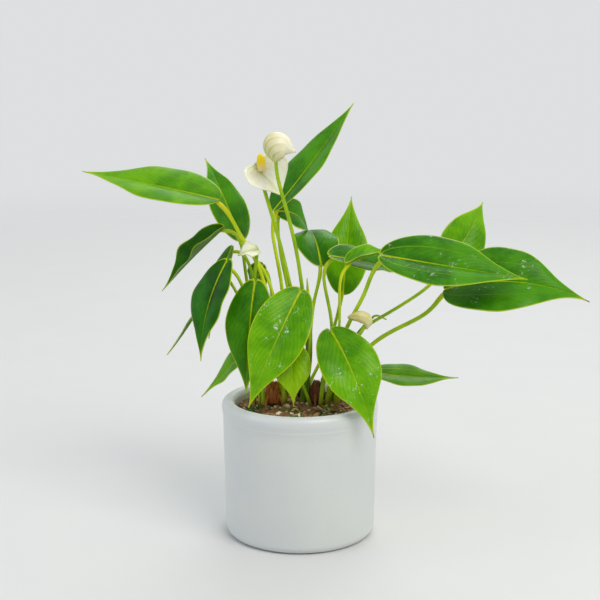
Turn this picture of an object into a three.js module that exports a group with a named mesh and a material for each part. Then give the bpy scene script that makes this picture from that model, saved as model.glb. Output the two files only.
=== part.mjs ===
// A miniature anthurium growing in a small round glazed pot.
//
// Units are millimetres and +Z is up. The origin is the centre of the pot's flat foot, on the
// surface that it stands on. +X runs to the right and +Y to the back. The plant is three shoots in
// one pot: a left, a right and a back one. Every stalk is seated on the compost round a shoot, and
// heights in the plant are measured from the plane of the pot's rim, so the plant follows the pot.

import * as THREE from 'three';
import { LoftGeometry } from 'three/addons/geometries/LoftGeometry.js';

// ---------------------------------------------------------------- driving dimensions

const clearance = 0.3; // between pieces that touch

const potHeight = 66;
const potTopRadius = 37.5; // outside of the lip
const potFootRadius = 36; // outside of the wall where it meets the foot
const potWall = 6.5;
const potFloor = 6;
const potFootRound = 4;
const lipHeight = 5.5;
const lipProud = 0.5; // how far the lip stands out from the wall below it
const potSegments = 40;

const soilDrop = 5; // from the rim down to the compost at the wall
const soilMound = 4; // how much higher the compost is in the middle

const crownRadius = 4.6;
const crownHeight = 11;
const petioleDiameter = 2;
const peduncleDiameter = 2.2;
const spadixRadius = 2;
const bladeThickness = 0.9;
const bladeSections = 9; // steps along a leaf blade
const bladeCorners = 8; // round each of them
const bladeEnd = 0.3; // half-width of a blade's blunt tip
const rimOverhang = 9.5; // how far the tip of a leaf that hangs over the rim stands out from it
const stalkSides = 6;
const stalkSteps = 3; // between one bend of a stalk and the next
const kneeLength = 3.2; // the bent length where a stalk meets its leaf
const rowPitch = 3; // between the inner and the outer row of stalks round a shoot

// ---------------------------------------------------------------- materials

const finish = (color, roughness) =>
  new THREE.MeshStandardMaterial({ color, roughness, metalness: 0 });

const glaze = finish('#d5dad6', 0.42);
const compost = finish('#4a3526', 0.95);
const sheath = finish('#7a3d1c', 0.7);
const matureLeaf = finish('#2f7d12', 0.38);
const freshLeaf = finish('#5ea812', 0.4);
const stalkGreen = finish('#86b21c', 0.45);
const bract = finish('#f1efd2', 0.5);
const spadixYellow = finish('#f2c413', 0.6);

// ---------------------------------------------------------------- small helpers

const group = new THREE.Group();

/** Adds one named piece to the plant. */
function add(name, geometry, material) {
  const mesh = new THREE.Mesh(geometry, material);
  mesh.name = name;
  group.add(mesh);
  return mesh;
}

const radians = THREE.MathUtils.degToRad;

/** A place in the plant: x and y from the pot's axis, and the height above the rim's plane. */
const place = ([x, y, aboveRim]) => new THREE.Vector3(x, y, potHeight + aboveRim);

/** A place outside the pot: the heading and distance from its lip, and the height above the rim. */
function overRim(heading, distance, aboveRim) {
  const radius = potTopRadius + distance;
  return [radius * Math.cos(radians(heading)), radius * Math.sin(radians(heading)), aboveRim];
}

/** A unit vector from a heading (0 is +X, 90 is +Y) and a tilt above the horizontal, in degrees. */
function direction(heading, tilt) {
  const flat = Math.cos(radians(tilt));
  return new THREE.Vector3(
    Math.cos(radians(heading)) * flat,
    Math.sin(radians(heading)) * flat,
    Math.sin(radians(tilt)),
  );
}

// ---------------------------------------------------------------- pot and compost

const wallRadius = potTopRadius - lipProud; // outside of the wall just under the lip
const cavityRadius = potTopRadius - potWall;
const cavityFloorRadius = potFootRadius - potWall;
const rimRound = potWall / 2;

/** The radius of the pot's cavity at a height, where its wall is straight. */
const cavityAt = (z) =>
  THREE.MathUtils.mapLinear(z, potFloor, potHeight, cavityFloorRadius, cavityRadius);

function potProfile() {
  const rimCentre = potTopRadius - rimRound;
  const lipFoot = potHeight - lipHeight;
  const profile = new THREE.Path();
  profile.moveTo(0, 0);
  profile.lineTo(potFootRadius - potFootRound, 0);
  profile.absarc(potFootRadius - potFootRound, potFootRound, potFootRound, -Math.PI / 2, 0, false);
  profile.lineTo(wallRadius, lipFoot - lipProud);
  profile.lineTo(potTopRadius, lipFoot + lipProud);
  profile.absarc(rimCentre, potHeight - rimRound, rimRound, 0, Math.PI, false);
  profile.lineTo(cavityFloorRadius, potFloor);
  profile.lineTo(0, potFloor);
  return profile.getPoints(5);
}

/** Height of the compost's surface at a distance from the pot's axis. */
function soilTop(radius) {
  const share = Math.min(1, radius / cavityRadius);
  return potHeight - soilDrop + soilMound * (1 - share * share);
}

function soilProfile() {
  const bottom = potFloor + clearance;
  const edge = soilTop(cavityRadius);
  const points = [
    new THREE.Vector2(0, bottom),
    new THREE.Vector2(cavityAt(bottom) - clearance, bottom),
    new THREE.Vector2(cavityAt(edge) - clearance, edge),
  ];
  for (const share of [0.75, 0.5, 0.25, 0]) {
    const radius = share * cavityRadius;
    points.push(new THREE.Vector2(radius, soilTop(radius)));
  }
  return points;
}

/** A lathe about Z: the profile's x is the radius and its y the height. */
const turned = (profile, segments) =>
  new THREE.LatheGeometry(profile, segments).rotateX(Math.PI / 2);

add('pot', turned(potProfile(), potSegments), glaze);
add('potting_soil', turned(soilProfile(), potSegments / 2), compost);

// ---------------------------------------------------------------- shoots

const shoots = {
  left: { x: -13, y: -3 },
  right: { x: 8, y: -2 },
  back: { x: -1, y: 13 },
};

/** A short stem wrapped in brown sheaths, from which a shoot's stalks spring. */
function crownProfile(base) {
  const shape = [
    [0, 0],
    [0.8, 0],
    [1, 0.25],
    [0.85, 0.6],
    [0.45, 0.92],
    [0, 1],
  ];
  return shape.map(
    ([out, up]) => new THREE.Vector2(out * crownRadius, base + clearance + up * crownHeight),
  );
}

for (const [name, shoot] of Object.entries(shoots)) {
  const highest = soilTop(Math.max(0, Math.hypot(shoot.x, shoot.y) - crownRadius));
  const crown = add(`crown_${name}`, turned(crownProfile(highest), 10), sheath);
  crown.position.set(shoot.x, shoot.y, 0);
}

/** Where a stalk is seated on the compost: at an angle round its shoot, in the inner or outer row. */
function footOf({ shoot, at, row = 0 }, diameter) {
  const reach = crownRadius + diameter / 2 + clearance + row * rowPitch;
  const x = shoots[shoot].x + reach * Math.cos(radians(at));
  const y = shoots[shoot].y + reach * Math.sin(radians(at));
  const highest = soilTop(Math.max(0, Math.hypot(x, y) - diameter));
  const leanRoom = diameter / 4;
  return new THREE.Vector3(x, y, highest + clearance + leanRoom);
}

// ---------------------------------------------------------------- lofts

/** A round body lofted along a curve; radiusAt gives its radius at a share of its length. */
function tapered(line, stations, radiusAt) {
  const sections = [];
  const normal = new THREE.Vector3(1, 0, 0);
  for (let station = 0; station <= stations; station++) {
    const share = station / stations;
    const centre = line.getPoint(share);
    const tangent = line.getTangent(share);
    normal.addScaledVector(tangent, -normal.dot(tangent)).normalize();
    const binormal = new THREE.Vector3().crossVectors(tangent, normal);
    const ring = [];
    for (let side = 0; side < stalkSides; side++) {
      const angle = (side / stalkSides) * 2 * Math.PI;
      ring.push(
        centre
          .clone()
          .addScaledVector(normal, radiusAt(share) * Math.cos(angle))
          .addScaledVector(binormal, radiusAt(share) * Math.sin(angle)),
      );
    }
    sections.push(ring);
  }
  return new LoftGeometry(sections, { capStart: true, capEnd: true });
}

/** A stalk from its foot through its bends, and through its knee to the piece that it carries. */
function stalk(spec, knee, end, diameter) {
  const foot = footOf(spec, diameter);
  const points = [foot, ...spec.bends.map(place), knee, end];
  const line = new THREE.CatmullRomCurve3(points, false, 'centripetal');
  return tapered(line, (points.length - 1) * stalkSteps, () => diameter / 2);
}

/** Half-width of a leaf, as a share of its widest, at a share v of its length: a round base, the
 * widest part before the middle and a drawn-out tip. */
const leafOutline = (v) => Math.sin(Math.PI * v ** 0.72) ** (0.75 + 0.6 * v);

/** Half-width of a spathe: nearly round, with a short tip. */
const spatheOutline = (v) => Math.sin(Math.PI * v ** 0.85) ** (0.55 + 0.5 * v);

/**
 * A thin curved blade, lofted along its midrib from base to tip.
 * arch is how far the midrib rises from the straight line between them, towards the upper face.
 * faces is the heading and tilt of the upper face, and fold is how far each half is turned up
 * from flat, in degrees.
 */
function blade({ base, tip, width, arch, faces, fold, outline, rootRadius = bladeEnd }) {
  const along = tip.clone().sub(base).normalize();
  const face = direction(...faces);
  face.addScaledVector(along, -face.dot(along)).normalize();
  const control = base.clone().lerp(tip, 0.5).addScaledVector(face, 2 * arch);
  const midrib = new THREE.QuadraticBezierCurve3(base, control, tip);
  const sections = [];
  for (let step = 0; step <= bladeSections; step++) {
    const v = (step / bladeSections) ** 1.25; // closer together at the round base
    const centre = midrib.getPoint(v);
    const heading = midrib.getTangent(v);
    const across = new THREE.Vector3().crossVectors(heading, face).normalize();
    const up = new THREE.Vector3().crossVectors(across, heading);
    const half = Math.max(step === 0 ? rootRadius : bladeEnd, (width / 2) * outline(v));
    const thick = Math.min(bladeThickness / 2, half);
    const ring = [];
    for (let corner = 0; corner < bladeCorners; corner++) {
      const angle = (corner / bladeCorners) * 2 * Math.PI;
      const out = half * Math.cos(angle);
      const rise = Math.abs(out) * Math.sin(radians(fold)) + thick * Math.sin(angle);
      ring.push(
        centre
          .clone()
          .addScaledVector(across, -out * Math.cos(radians(fold)))
          .addScaledVector(up, rise),
      );
    }
    sections.push(ring);
  }
  return { geometry: new LoftGeometry(sections, { capStart: true, capEnd: true }), midrib };
}

// ---------------------------------------------------------------- leaves

// Each leaf: where its blade is joined to its stalk (base), its tip, its width, how it is curved,
// and where its stalk starts (shoot, at, row) and bends.
const leaves = {
  far_left: {
    shoot: 'left', at: 5, bends: [[-9, -3, 16], [-16, 1, 52], [-21.5, 6, 67], [-30, 8, 80]],
    base: [-38, 8, 94], tip: [-107, 36, 105], width: 29, arch: -1, faces: [-90, 75], fold: 12,
    fresh: true,
  },
  upper_left: {
    shoot: 'left', at: 50, bends: [[-13, 6, 50], [-20, 16, 63]],
    base: [-29, 18, 74], tip: [-48, 54, 110], width: 20, arch: 2, faces: [-70, 40], fold: 10,
  },
  twisted_left: {
    shoot: 'left', at: 110, bends: [[-20, 6, 30], [-25.5, 11, 54], [-29, 13, 76]],
    base: [-37, 14, 80], tip: [-68, 26, 47], width: 20, arch: 1, faces: [-130, 50], fold: 22,
  },
  hanging_left: {
    shoot: 'left', at: 192, bends: [[-22.5, -4, 40], [-27, -4, 55]],
    base: [-34.5, -4, 66], tip: [-46, -17, 22], width: 21, arch: 4, faces: [-135, 25], fold: 10,
  },
  inner_left: {
    shoot: 'left', at: 138, bends: [[-21.5, 4, 54], [-25.5, 8, 67]],
    base: [-32.5, 10, 71], tip: [-44, 8, 27], width: 18, arch: 2, faces: [-155, 20], fold: 10,
  },
  edge_left: {
    shoot: 'left', at: 165, row: 1, bends: [[-26, 5, 40], [-33, 10, 54]],
    base: [-40, 20, 56.5], tip: [-67, 33, 13], width: 16, arch: -1, faces: [178, 30], fold: 8,
  },
  low_left: {
    shoot: 'left', at: 80, bends: [[-17, 10, 20]],
    base: [-21, 18, 28], tip: [-50, 34, -9], width: 15, arch: -1, faces: [-150, 35], fold: 8,
  },
  front_left: {
    shoot: 'left', at: 225, bends: [[-18.3, -7.2, 27]],
    base: [-21, -9, 56.5], tip: [-25, -18, 6.5], width: 24, arch: 3, faces: [-105, 22], fold: 8,
  },
  front_middle: {
    shoot: 'left', at: 330, bends: [[-6, -5, 25], [0, -7, 45]],
    base: [0, -14, 54], tip: [-23.5, -31, 3.5], width: 29, arch: 5, faces: [-95, 25], fold: 12,
  },
  front_small: {
    shoot: 'right', at: 240, bends: [[-1, -9, 14]],
    base: [-5, -11, 29], tip: [-3, -22, 1.5], width: 18, arch: 4, faces: [-85, 25], fold: 8,
  },
  front_right: {
    shoot: 'right', at: 285, bends: [[12, -8, 20]],
    base: [14.5, -11, 35], tip: overRim(-45, rimOverhang, -10), width: 29, arch: 7, faces: [-80, 35], fold: 8,
  },
  low_right: {
    shoot: 'right', at: 62, row: 1, bends: [[25, 9, 5]],
    base: [36, 16, 8], tip: [79, 26, 3], width: 18, arch: -1, faces: [-90, 66], fold: 8,
  },
  tall: {
    shoot: 'back', at: 165, bends: [[-8.5, 13, 50], [-13, 14, 76]],
    base: [-12, 14, 89], tip: [26, 38, 138], width: 26, arch: -1, faces: [-153, 38], fold: 14,
  },
  upper_middle: {
    shoot: 'back', at: 110, bends: [[-6, 20, 50]],
    base: [-11, 20, 87], tip: [5, 38, 77], width: 17, arch: 4, faces: [-60, 55], fold: 12,
  },
  back_middle: {
    shoot: 'back', at: 320, bends: [[6.5, 8, 45], [10, 8, 58]],
    base: [10, 10, 63], tip: [4, 48, 74], width: 22, arch: 5, faces: [-90, 84], fold: 12,
  },
  back_upright: {
    shoot: 'back', at: 50, bends: [[14, 26, 20]],
    base: [21.5, 34, 45], tip: [26, 50, 91], width: 22, arch: 2, faces: [-90, 15], fold: 10,
  },
  dark_right: {
    shoot: 'right', at: 70, bends: [[15.5, 3, 32], [11, 4, 58]],
    base: [14.5, 4, 68], tip: [52, 18, 57], width: 22, arch: 1, faces: [-90, 66], fold: 14,
  },
  folded_right: {
    shoot: 'right', at: 350, bends: [[18.5, -4, 35], [18.5, -4, 58]],
    base: [22, -4, 66], tip: [45, 4, 70], width: 15, arch: 1, faces: [-90, 78], fold: 38,
  },
  long_right: {
    shoot: 'right', at: 315, bends: [[21.5, -7, 35], [31, -10, 54.5]],
    base: [38, -14, 71], tip: [102.5, -26, 62], width: 31, arch: 0, faces: [-95, 52], fold: 14,
  },
  far_right: {
    shoot: 'right', at: 2, row: 1, bends: [[33, -4, 26.5], [63.5, -4, 45]],
    base: [68, -2, 53], tip: [134, -12, 49], width: 36, arch: 7, faces: [-90, 42], fold: 12,
  },
  upper_right: {
    shoot: 'right', at: 40, row: 1, bends: [[27, 4, 30], [44, 6, 41], [61, 8, 52]],
    base: [68, 12, 59], tip: [90, 34, 90], width: 23, arch: 4, faces: [-60, 20], fold: 10,
    fresh: true,
  },
  back_small: {
    shoot: 'back', at: 200, bends: [[-13, 14, 40], [-14.5, 15, 54]],
    base: [-18, 20, 61], tip: [-22, 33, 45], width: 13, arch: 2, faces: [-90, 40], fold: 8,
  },
};

for (const [name, leaf] of Object.entries(leaves)) {
  const joint = place(leaf.base);
  const { geometry, midrib } = blade({
    ...leaf,
    base: joint,
    tip: place(leaf.tip),
    outline: leafOutline,
    rootRadius: petioleDiameter / 2,
  });
  const heading = midrib.getTangent(0);
  const end = joint.clone().addScaledVector(heading, -clearance);
  const knee = joint.clone().addScaledVector(heading, -kneeLength);
  add(`petiole_${name}`, stalk(leaf, knee, end, petioleDiameter), stalkGreen);
  add(`leaf_${name}`, geometry, leaf.fresh ? freshLeaf : matureLeaf);
}

// ---------------------------------------------------------------- young leaves

// Each is one body: a leaf that is still rolled round itself, on its own stalk.
const youngLeaves = {
  spear: {
    shoot: 'right', at: 195, bends: [[4, -4.5, 20], [4, -5, 44]], tip: [3.3, -5, 59],
    radiusAt: (share) => THREE.MathUtils.lerp(1.9, 0.3, share ** 3),
  },
  curled: {
    shoot: 'right', at: 24, row: 1, bends: [[25, 1, 27], [33, 0, 37.5], [36, 0, 40]],
    tip: [41, 0, 38],
    radiusAt: (share) => THREE.MathUtils.lerp(1, 0.3, share ** 4),
  },
};

for (const [name, young] of Object.entries(youngLeaves)) {
  const foot = footOf(young, 2 * young.radiusAt(0));
  const points = [foot, ...young.bends.map(place), place(young.tip)];
  const line = new THREE.CatmullRomCurve3(points, false, 'centripetal');
  const geometry = tapered(line, points.length * stalkSteps, young.radiusAt);
  add(`young_leaf_${name}`, geometry, freshLeaf);
}

// ---------------------------------------------------------------- flowers

// Two flowers with an open spathe, a heart-shaped sheet held by its base.
const openFlowers = {
  tall: {
    shoot: 'right', at: 155, bends: [[-2, -3, 42], [-7.5, -4, 68], [-12.3, -3, 86]],
    base: [-18, -1, 107.5], tip: [-8.5, -8, 98], width: 28, arch: 0, faces: [-100, 50], fold: 33,
  },
  small: {
    shoot: 'left', at: 165, bends: [[-18, -2, 40], [-22, 0, 55]],
    base: [-20.5, 0, 71.3], tip: [-29, -3, 69.3], width: 9, arch: 1.5, faces: [-95, 35], fold: 20,
  },
};

for (const [name, flower] of Object.entries(openFlowers)) {
  const joint = place(flower.base);
  const { geometry } = blade({
    ...flower,
    base: joint,
    tip: place(flower.tip),
    outline: spatheOutline,
  });
  const behind = direction(...flower.faces).negate();
  const reach = bladeThickness / 2 + peduncleDiameter / 2 + clearance;
  const end = joint.clone().addScaledVector(behind, reach);
  const knee = end.clone().add(new THREE.Vector3(0.3, 0, -kneeLength));
  add(`peduncle_${name}`, stalk(flower, knee, end, peduncleDiameter), stalkGreen);
  add(`spathe_${name}`, geometry, bract);
}

// The spadix stands just above the base of the tall flower's spathe.
const spatheJoint = place(openFlowers.tall.base);
const spadixFoot = spatheJoint.clone().add(new THREE.Vector3(0.3, 0.4, 1.8));
const spadixTip = spatheJoint.clone().add(new THREE.Vector3(-0.5, 0.6, 8.9));
const spadixLine = new THREE.LineCurve3(spadixFoot, spadixTip);
const spadixShape = (share) => spadixRadius * Math.sqrt(1 - 0.96 * Math.abs(2 * share - 1) ** 3);
add('spadix', tapered(spadixLine, 6, spadixShape), spadixYellow);

// Two buds, whose spathe is still wrapped round the spadix and ends in a beak.
const buds = {
  round: {
    shoot: 'right', at: 125, bends: [[2.5, -1, 40], [-2, -8, 74], [-6.8, -12, 94]],
    end: [-11, -13, 113.2],
    body: [[-16.7, -13, 120.5], [-11.2, -13, 120.8], [-6, -13, 120], [-1.8, -13.5, 118]],
    radiusAt: (share) => 0.2 + 6.6 * Math.sin(Math.PI * share ** 0.57) ** 0.85,
  },
  hooded: {
    shoot: 'right', at: 338, row: 1, bends: [[23.5, -11, 31.7]],
    end: [30, -11, 35.7],
    body: [[31.2, -11, 36.8], [31.2, -11, 40], [28.2, -11, 41.8], [22, -12, 41.6]],
    radiusAt: (share) => 0.2 + 2.6 * Math.sin(Math.PI * share ** 0.8) ** 0.7,
  },
};

for (const [name, bud] of Object.entries(buds)) {
  const end = place(bud.end);
  const knee = end.clone().add(new THREE.Vector3(0, 0, -kneeLength));
  const body = new THREE.CatmullRomCurve3(bud.body.map(place), false, 'centripetal');
  add(`peduncle_${name}`, stalk(bud, knee, end, peduncleDiameter), stalkGreen);
  add(`bud_${name}`, tapered(body, 9, bud.radiusAt), bract);
}

export default group;
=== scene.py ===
"""The looks of a miniature anthurium in a small glazed pot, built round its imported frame.

The frame holds every stalk, blade, bud and the pot as plain lofts and lathes, in metres with +Z up.
Each class below reads the lofts of its own sub-assembly from the frame, rebuilds them finely and
dresses them. Sizes in the fields are in millimetres; meshes are in metres.
"""

import logging
import math
from collections.abc import Callable, Iterable, Sequence
from dataclasses import dataclass, field
from enum import Enum

import bmesh
import bpy
import numpy as np
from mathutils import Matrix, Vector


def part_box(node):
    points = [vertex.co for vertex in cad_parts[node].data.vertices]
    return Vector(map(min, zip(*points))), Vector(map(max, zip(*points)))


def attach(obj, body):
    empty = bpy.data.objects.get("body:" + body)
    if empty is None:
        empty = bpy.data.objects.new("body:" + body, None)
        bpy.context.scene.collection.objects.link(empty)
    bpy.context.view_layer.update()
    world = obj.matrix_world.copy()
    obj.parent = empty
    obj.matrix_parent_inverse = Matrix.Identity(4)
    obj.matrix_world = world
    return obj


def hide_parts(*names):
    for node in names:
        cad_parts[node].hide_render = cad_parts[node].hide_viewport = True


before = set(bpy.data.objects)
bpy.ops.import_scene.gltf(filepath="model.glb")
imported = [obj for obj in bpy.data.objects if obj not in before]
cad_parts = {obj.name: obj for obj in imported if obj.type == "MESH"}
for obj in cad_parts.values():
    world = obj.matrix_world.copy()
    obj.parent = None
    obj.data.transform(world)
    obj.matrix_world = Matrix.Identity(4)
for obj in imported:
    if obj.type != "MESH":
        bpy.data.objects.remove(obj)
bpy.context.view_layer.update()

log = logging.getLogger("anthurium")
MM = 0.001
BODY = "root"
FRAME_STEPS = 9  # lengths of loft along a blade of the frame
FRAME_CROWDING = 1.25  # the power that sets the frame's sections closer together at a blade's base
BLADE_CORNERS = 8  # corners round a blade of the frame
STALK_CORNERS = 6  # corners round a stalk, a bud or the spadix of the frame
SUNK_FOOT = 2.5  # how far a stalk runs down into the compost, in millimetres
EDGE_BULGE = 0.1  # how far the rim of a thin sheet stands out past its faces, in millimetres

# Settings that many nodes share.
SMOOTH = {"interpolation_type": "SMOOTHSTEP"}
COLOURS = {"data_type": "RGBA"}
TIMES = {"operation": "MULTIPLY"}
PLUS = {"operation": "ADD"}

Colour = tuple[float, float, float, float]
Values = dict[str, np.ndarray]


# ---------------------------------------------------------------- small tools


def srgb(code: str) -> Colour:
    """Turns a colour into the linear values that shaders take.

    Args:
        code: The colour as sRGB hex, such as "#80a020".

    Returns:
        Linear red, green, blue and an alpha of one.
    """
    parts = [int(code[i : i + 2], 16) / 255 for i in (1, 3, 5)]
    linear = [c / 12.92 if c <= 0.04045 else ((c + 0.055) / 1.055) ** 2.4 for c in parts]
    return linear[0], linear[1], linear[2], 1.0


def feed(tree: bpy.types.NodeTree, node: bpy.types.Node, links: dict) -> None:
    """Gives a node its inputs.

    Args:
        tree: The tree that the node is in.
        node: The node.
        links: A value, a node or a (node, output) pair for each input, by its name or number.
    """
    for name, value in links.items():
        if isinstance(value, bpy.types.Node):
            value = (value, 2 if value.bl_idname == "ShaderNodeMix" else 0)
        if isinstance(value, tuple) and isinstance(value[0], bpy.types.Node):
            tree.links.new(value[0].outputs[value[1]], node.inputs[name])
        else:
            node.inputs[name].default_value = value


def put(tree: bpy.types.NodeTree, kind: str, settings: dict | None = None,
        links: dict | None = None) -> bpy.types.Node:
    """Adds a node with its settings and links.

    Args:
        tree: The tree that the node goes into.
        kind: The node's type name, after ShaderNode.
        settings: Values for the node's own properties; "ramp" holds (position, hex colour) pairs.
        links: What feeds its inputs, as feed takes it.

    Returns:
        The new node.
    """
    node = tree.nodes.new(f"ShaderNode{kind}")
    for name, value in (settings or {}).items():
        if name == "ramp":
            stops = node.color_ramp.elements
            while len(stops) < len(value):
                stops.new(0.5)
            for stop, (position, code) in zip(stops, value):
                stop.position = position
                stop.color = srgb(code)
        else:
            setattr(node, name, value)
    feed(tree, node, links or {})
    return node


def new_finish(name: str, **constants: object) -> tuple[bpy.types.Material, bpy.types.NodeTree,
                                                        bpy.types.Node]:
    """Starts a material whose constant values stand on the shader's own sockets.

    Args:
        name: The finish's name.
        constants: Values for the shader's inputs, with _ for a space in their names.

    Returns:
        The material, its node tree and its shader.
    """
    material = bpy.data.materials.new(name)
    material.use_nodes = True
    tree = material.node_tree
    shader = tree.nodes["Principled BSDF"]
    for key, value in constants.items():
        shader.inputs[key.replace("_", " ")].default_value = value
    return material, tree, shader


def in_millimetres(tree: bpy.types.NodeTree) -> bpy.types.Node:
    """Gives the piece's own coordinates in millimetres, so that a pattern's scale is per mm.

    Args:
        tree: The finish's node tree.

    Returns:
        The node whose output is the coordinates.
    """
    own = put(tree, "TexCoord")
    return put(tree, "VectorMath", {"operation": "SCALE"},
               {0: (own, "Object"), "Scale": 1 / MM})


def painted(tree: bpy.types.NodeTree, name: str) -> bpy.types.Node:
    """Gives the three values that a piece is painted with, as a node's outputs 0 to 2."""
    layer = put(tree, "Attribute", {"attribute_name": name})
    return put(tree, "SeparateXYZ", None, {0: (layer, "Vector")})


def through(points: np.ndarray, count: int) -> np.ndarray:
    """Runs a smooth curve through points and spaces new ones evenly along it.

    Args:
        points: The points, one row each.
        count: How many points to return.

    Returns:
        The evenly spaced points.
    """
    padded = np.vstack([2 * points[0] - points[1], points, 2 * points[-1] - points[-2]])
    fine = []
    for i in range(len(points) - 1):
        a, b, c, d = padded[i : i + 4]
        for t in np.linspace(0, 1, 8, endpoint=False):
            fine.append(0.5 * (2 * b + (c - a) * t + (2 * a - 5 * b + 4 * c - d) * t * t
                               + (3 * b - a - 3 * c + d) * t**3))
    fine = np.array([*fine, points[-1]])
    run = np.concatenate([[0], np.cumsum(np.linalg.norm(np.diff(fine, axis=0), axis=1))])
    places = np.linspace(0, run[-1], count)
    return np.column_stack([np.interp(places, run, fine[:, k]) for k in range(3)])


def unit(vectors: np.ndarray) -> np.ndarray:
    """Scales vectors, held in the last axis, to length one."""
    return vectors / np.maximum(np.linalg.norm(vectors, axis=-1, keepdims=True), 1e-12)


def ramp(values: np.ndarray | float, low: float, high: float) -> np.ndarray:
    """Rises smoothly from 0 at low to 1 at high."""
    share = np.clip((np.asarray(values, float) - low) / (high - low), 0, 1)
    return share * share * (3 - 2 * share)


# ---------------------------------------------------------------- reading the frame's lofts


def welded(node: str) -> tuple[np.ndarray, list[tuple[int, int, int]]]:
    """Reads a frame node as points shared between its triangles.

    Args:
        node: The frame node's name.

    Returns:
        The points and the triangles' corners.
    """
    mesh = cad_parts[node].data
    seen: dict[tuple[int, ...], int] = {}
    points: list[tuple[float, ...]] = []
    number: list[int] = []
    for vertex in mesh.vertices:
        key = tuple(round(c * 1e6) for c in vertex.co)
        if key not in seen:
            seen[key] = len(points)
            points.append(tuple(vertex.co))
        number.append(seen[key])
    mesh.calc_loop_triangles()
    triangles = [tuple(number[i] for i in t.vertices) for t in mesh.loop_triangles]
    return np.array(points), [t for t in triangles if len(set(t)) == 3]


def end_faces(points: np.ndarray, triangles: list[tuple[int, int, int]],
              corners: int) -> list[set[int]]:
    """Finds the flat ends of a loft, each as the set of its corners.

    Args:
        points: The loft's points.
        triangles: Its triangles.
        corners: How many corners its rings have.

    Returns:
        The corners of each end.
    """
    tri = np.array(triangles)
    edges = points[tri]
    normals = unit(np.cross(edges[:, 1] - edges[:, 0], edges[:, 2] - edges[:, 0]))
    beside: dict[frozenset[int], list[int]] = {}
    for i, t in enumerate(triangles):
        for a, b in ((0, 1), (1, 2), (2, 0)):
            beside.setdefault(frozenset((t[a], t[b])), []).append(i)
    found, done = [], set()
    for start in range(len(triangles)):
        if start in done:
            continue
        flat, waiting = {start}, [start]
        while waiting:
            i = waiting.pop()
            t = triangles[i]
            for a, b in ((0, 1), (1, 2), (2, 0)):
                for j in beside[frozenset((t[a], t[b]))]:
                    if j not in flat and normals[start] @ normals[j] > 0.99999:
                        flat.add(j)
                        waiting.append(j)
        done |= flat
        rim = {v for i in flat for v in triangles[i]}
        if len(flat) == corners - 2 and len(rim) == corners:
            found.append(rim)
    return found


def read_rings(node: str, corners: int, near: Sequence[float]) -> np.ndarray:
    """Reads a lofted frame node ring by ring, from the end nearest a point.

    Args:
        node: The frame node's name.
        corners: How many corners its rings have.
        near: A point near the first ring.

    Returns:
        An array of rings, corners and coordinates; rings turn the same way and stay in step.
    """
    points, triangles = welded(node)
    ends = end_faces(points, triangles, corners)
    layer = min(ends, key=lambda e: np.linalg.norm(points[list(e)].mean(0) - np.array(near)))
    level = dict.fromkeys(layer, 0)
    layers = [layer]
    while True:
        reached = {v for t in triangles for v in t
                   if v not in level and any(w in layers[-1] for w in t)}
        if not reached:
            break
        for v in reached:
            level[v] = len(layers)
        layers.append(reached)
    rings = []
    for number, layer in enumerate(layers):
        beside: dict[int, set[int]] = {v: set() for v in layer}
        for t in triangles:
            same = [v for v in t if level[v] == number]
            if len(same) == 2:
                beside[same[0]].add(same[1])
                beside[same[1]].add(same[0])
        order = [min(layer)]
        while len(order) < len(layer):
            onward = [v for v in beside[order[-1]] if v not in order]
            order.append(onward[0])
        rings.append(points[order])
    rings = np.array(rings)
    centres = rings.mean(1)
    if np.linalg.norm(centres[-1] - near) < np.linalg.norm(centres[0] - near):
        rings, centres = rings[::-1].copy(), centres[::-1]
    for i, ring in enumerate(rings):
        onward = centres[min(i + 1, len(rings) - 1)] - centres[max(i - 1, 0)]
        spokes = ring - centres[i]
        if np.cross(spokes, np.roll(spokes, -1, 0)).sum(0) @ onward < 0:
            rings[i] = ring[::-1]
    widest = int(np.argmax([np.ptp(r, 0).max() for r in rings]))
    for i in [*range(widest + 1, len(rings)), *range(widest - 1, -1, -1)]:
        guide = i - 1 if i > widest else i + 1
        held = rings[guide] - centres[guide]
        turns = [np.sum(np.roll(rings[i] - centres[i], -s, 0) * held) for s in range(corners)]
        rings[i] = np.roll(rings[i], -int(np.argmax(turns)), 0)
    return rings


def stalk_rings(node: str) -> np.ndarray:
    """Reads a stalk of the frame ring by ring, from its foot up."""
    points, _ = welded(node)
    return read_rings(node, STALK_CORNERS, points[np.argmin(points[:, 2])])


def stalk_top(node: str) -> np.ndarray:
    """The highest point of a stalk of the frame, next to what it carries."""
    points, _ = welded(node)
    return points[np.argmax(points[:, 2])]


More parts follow.
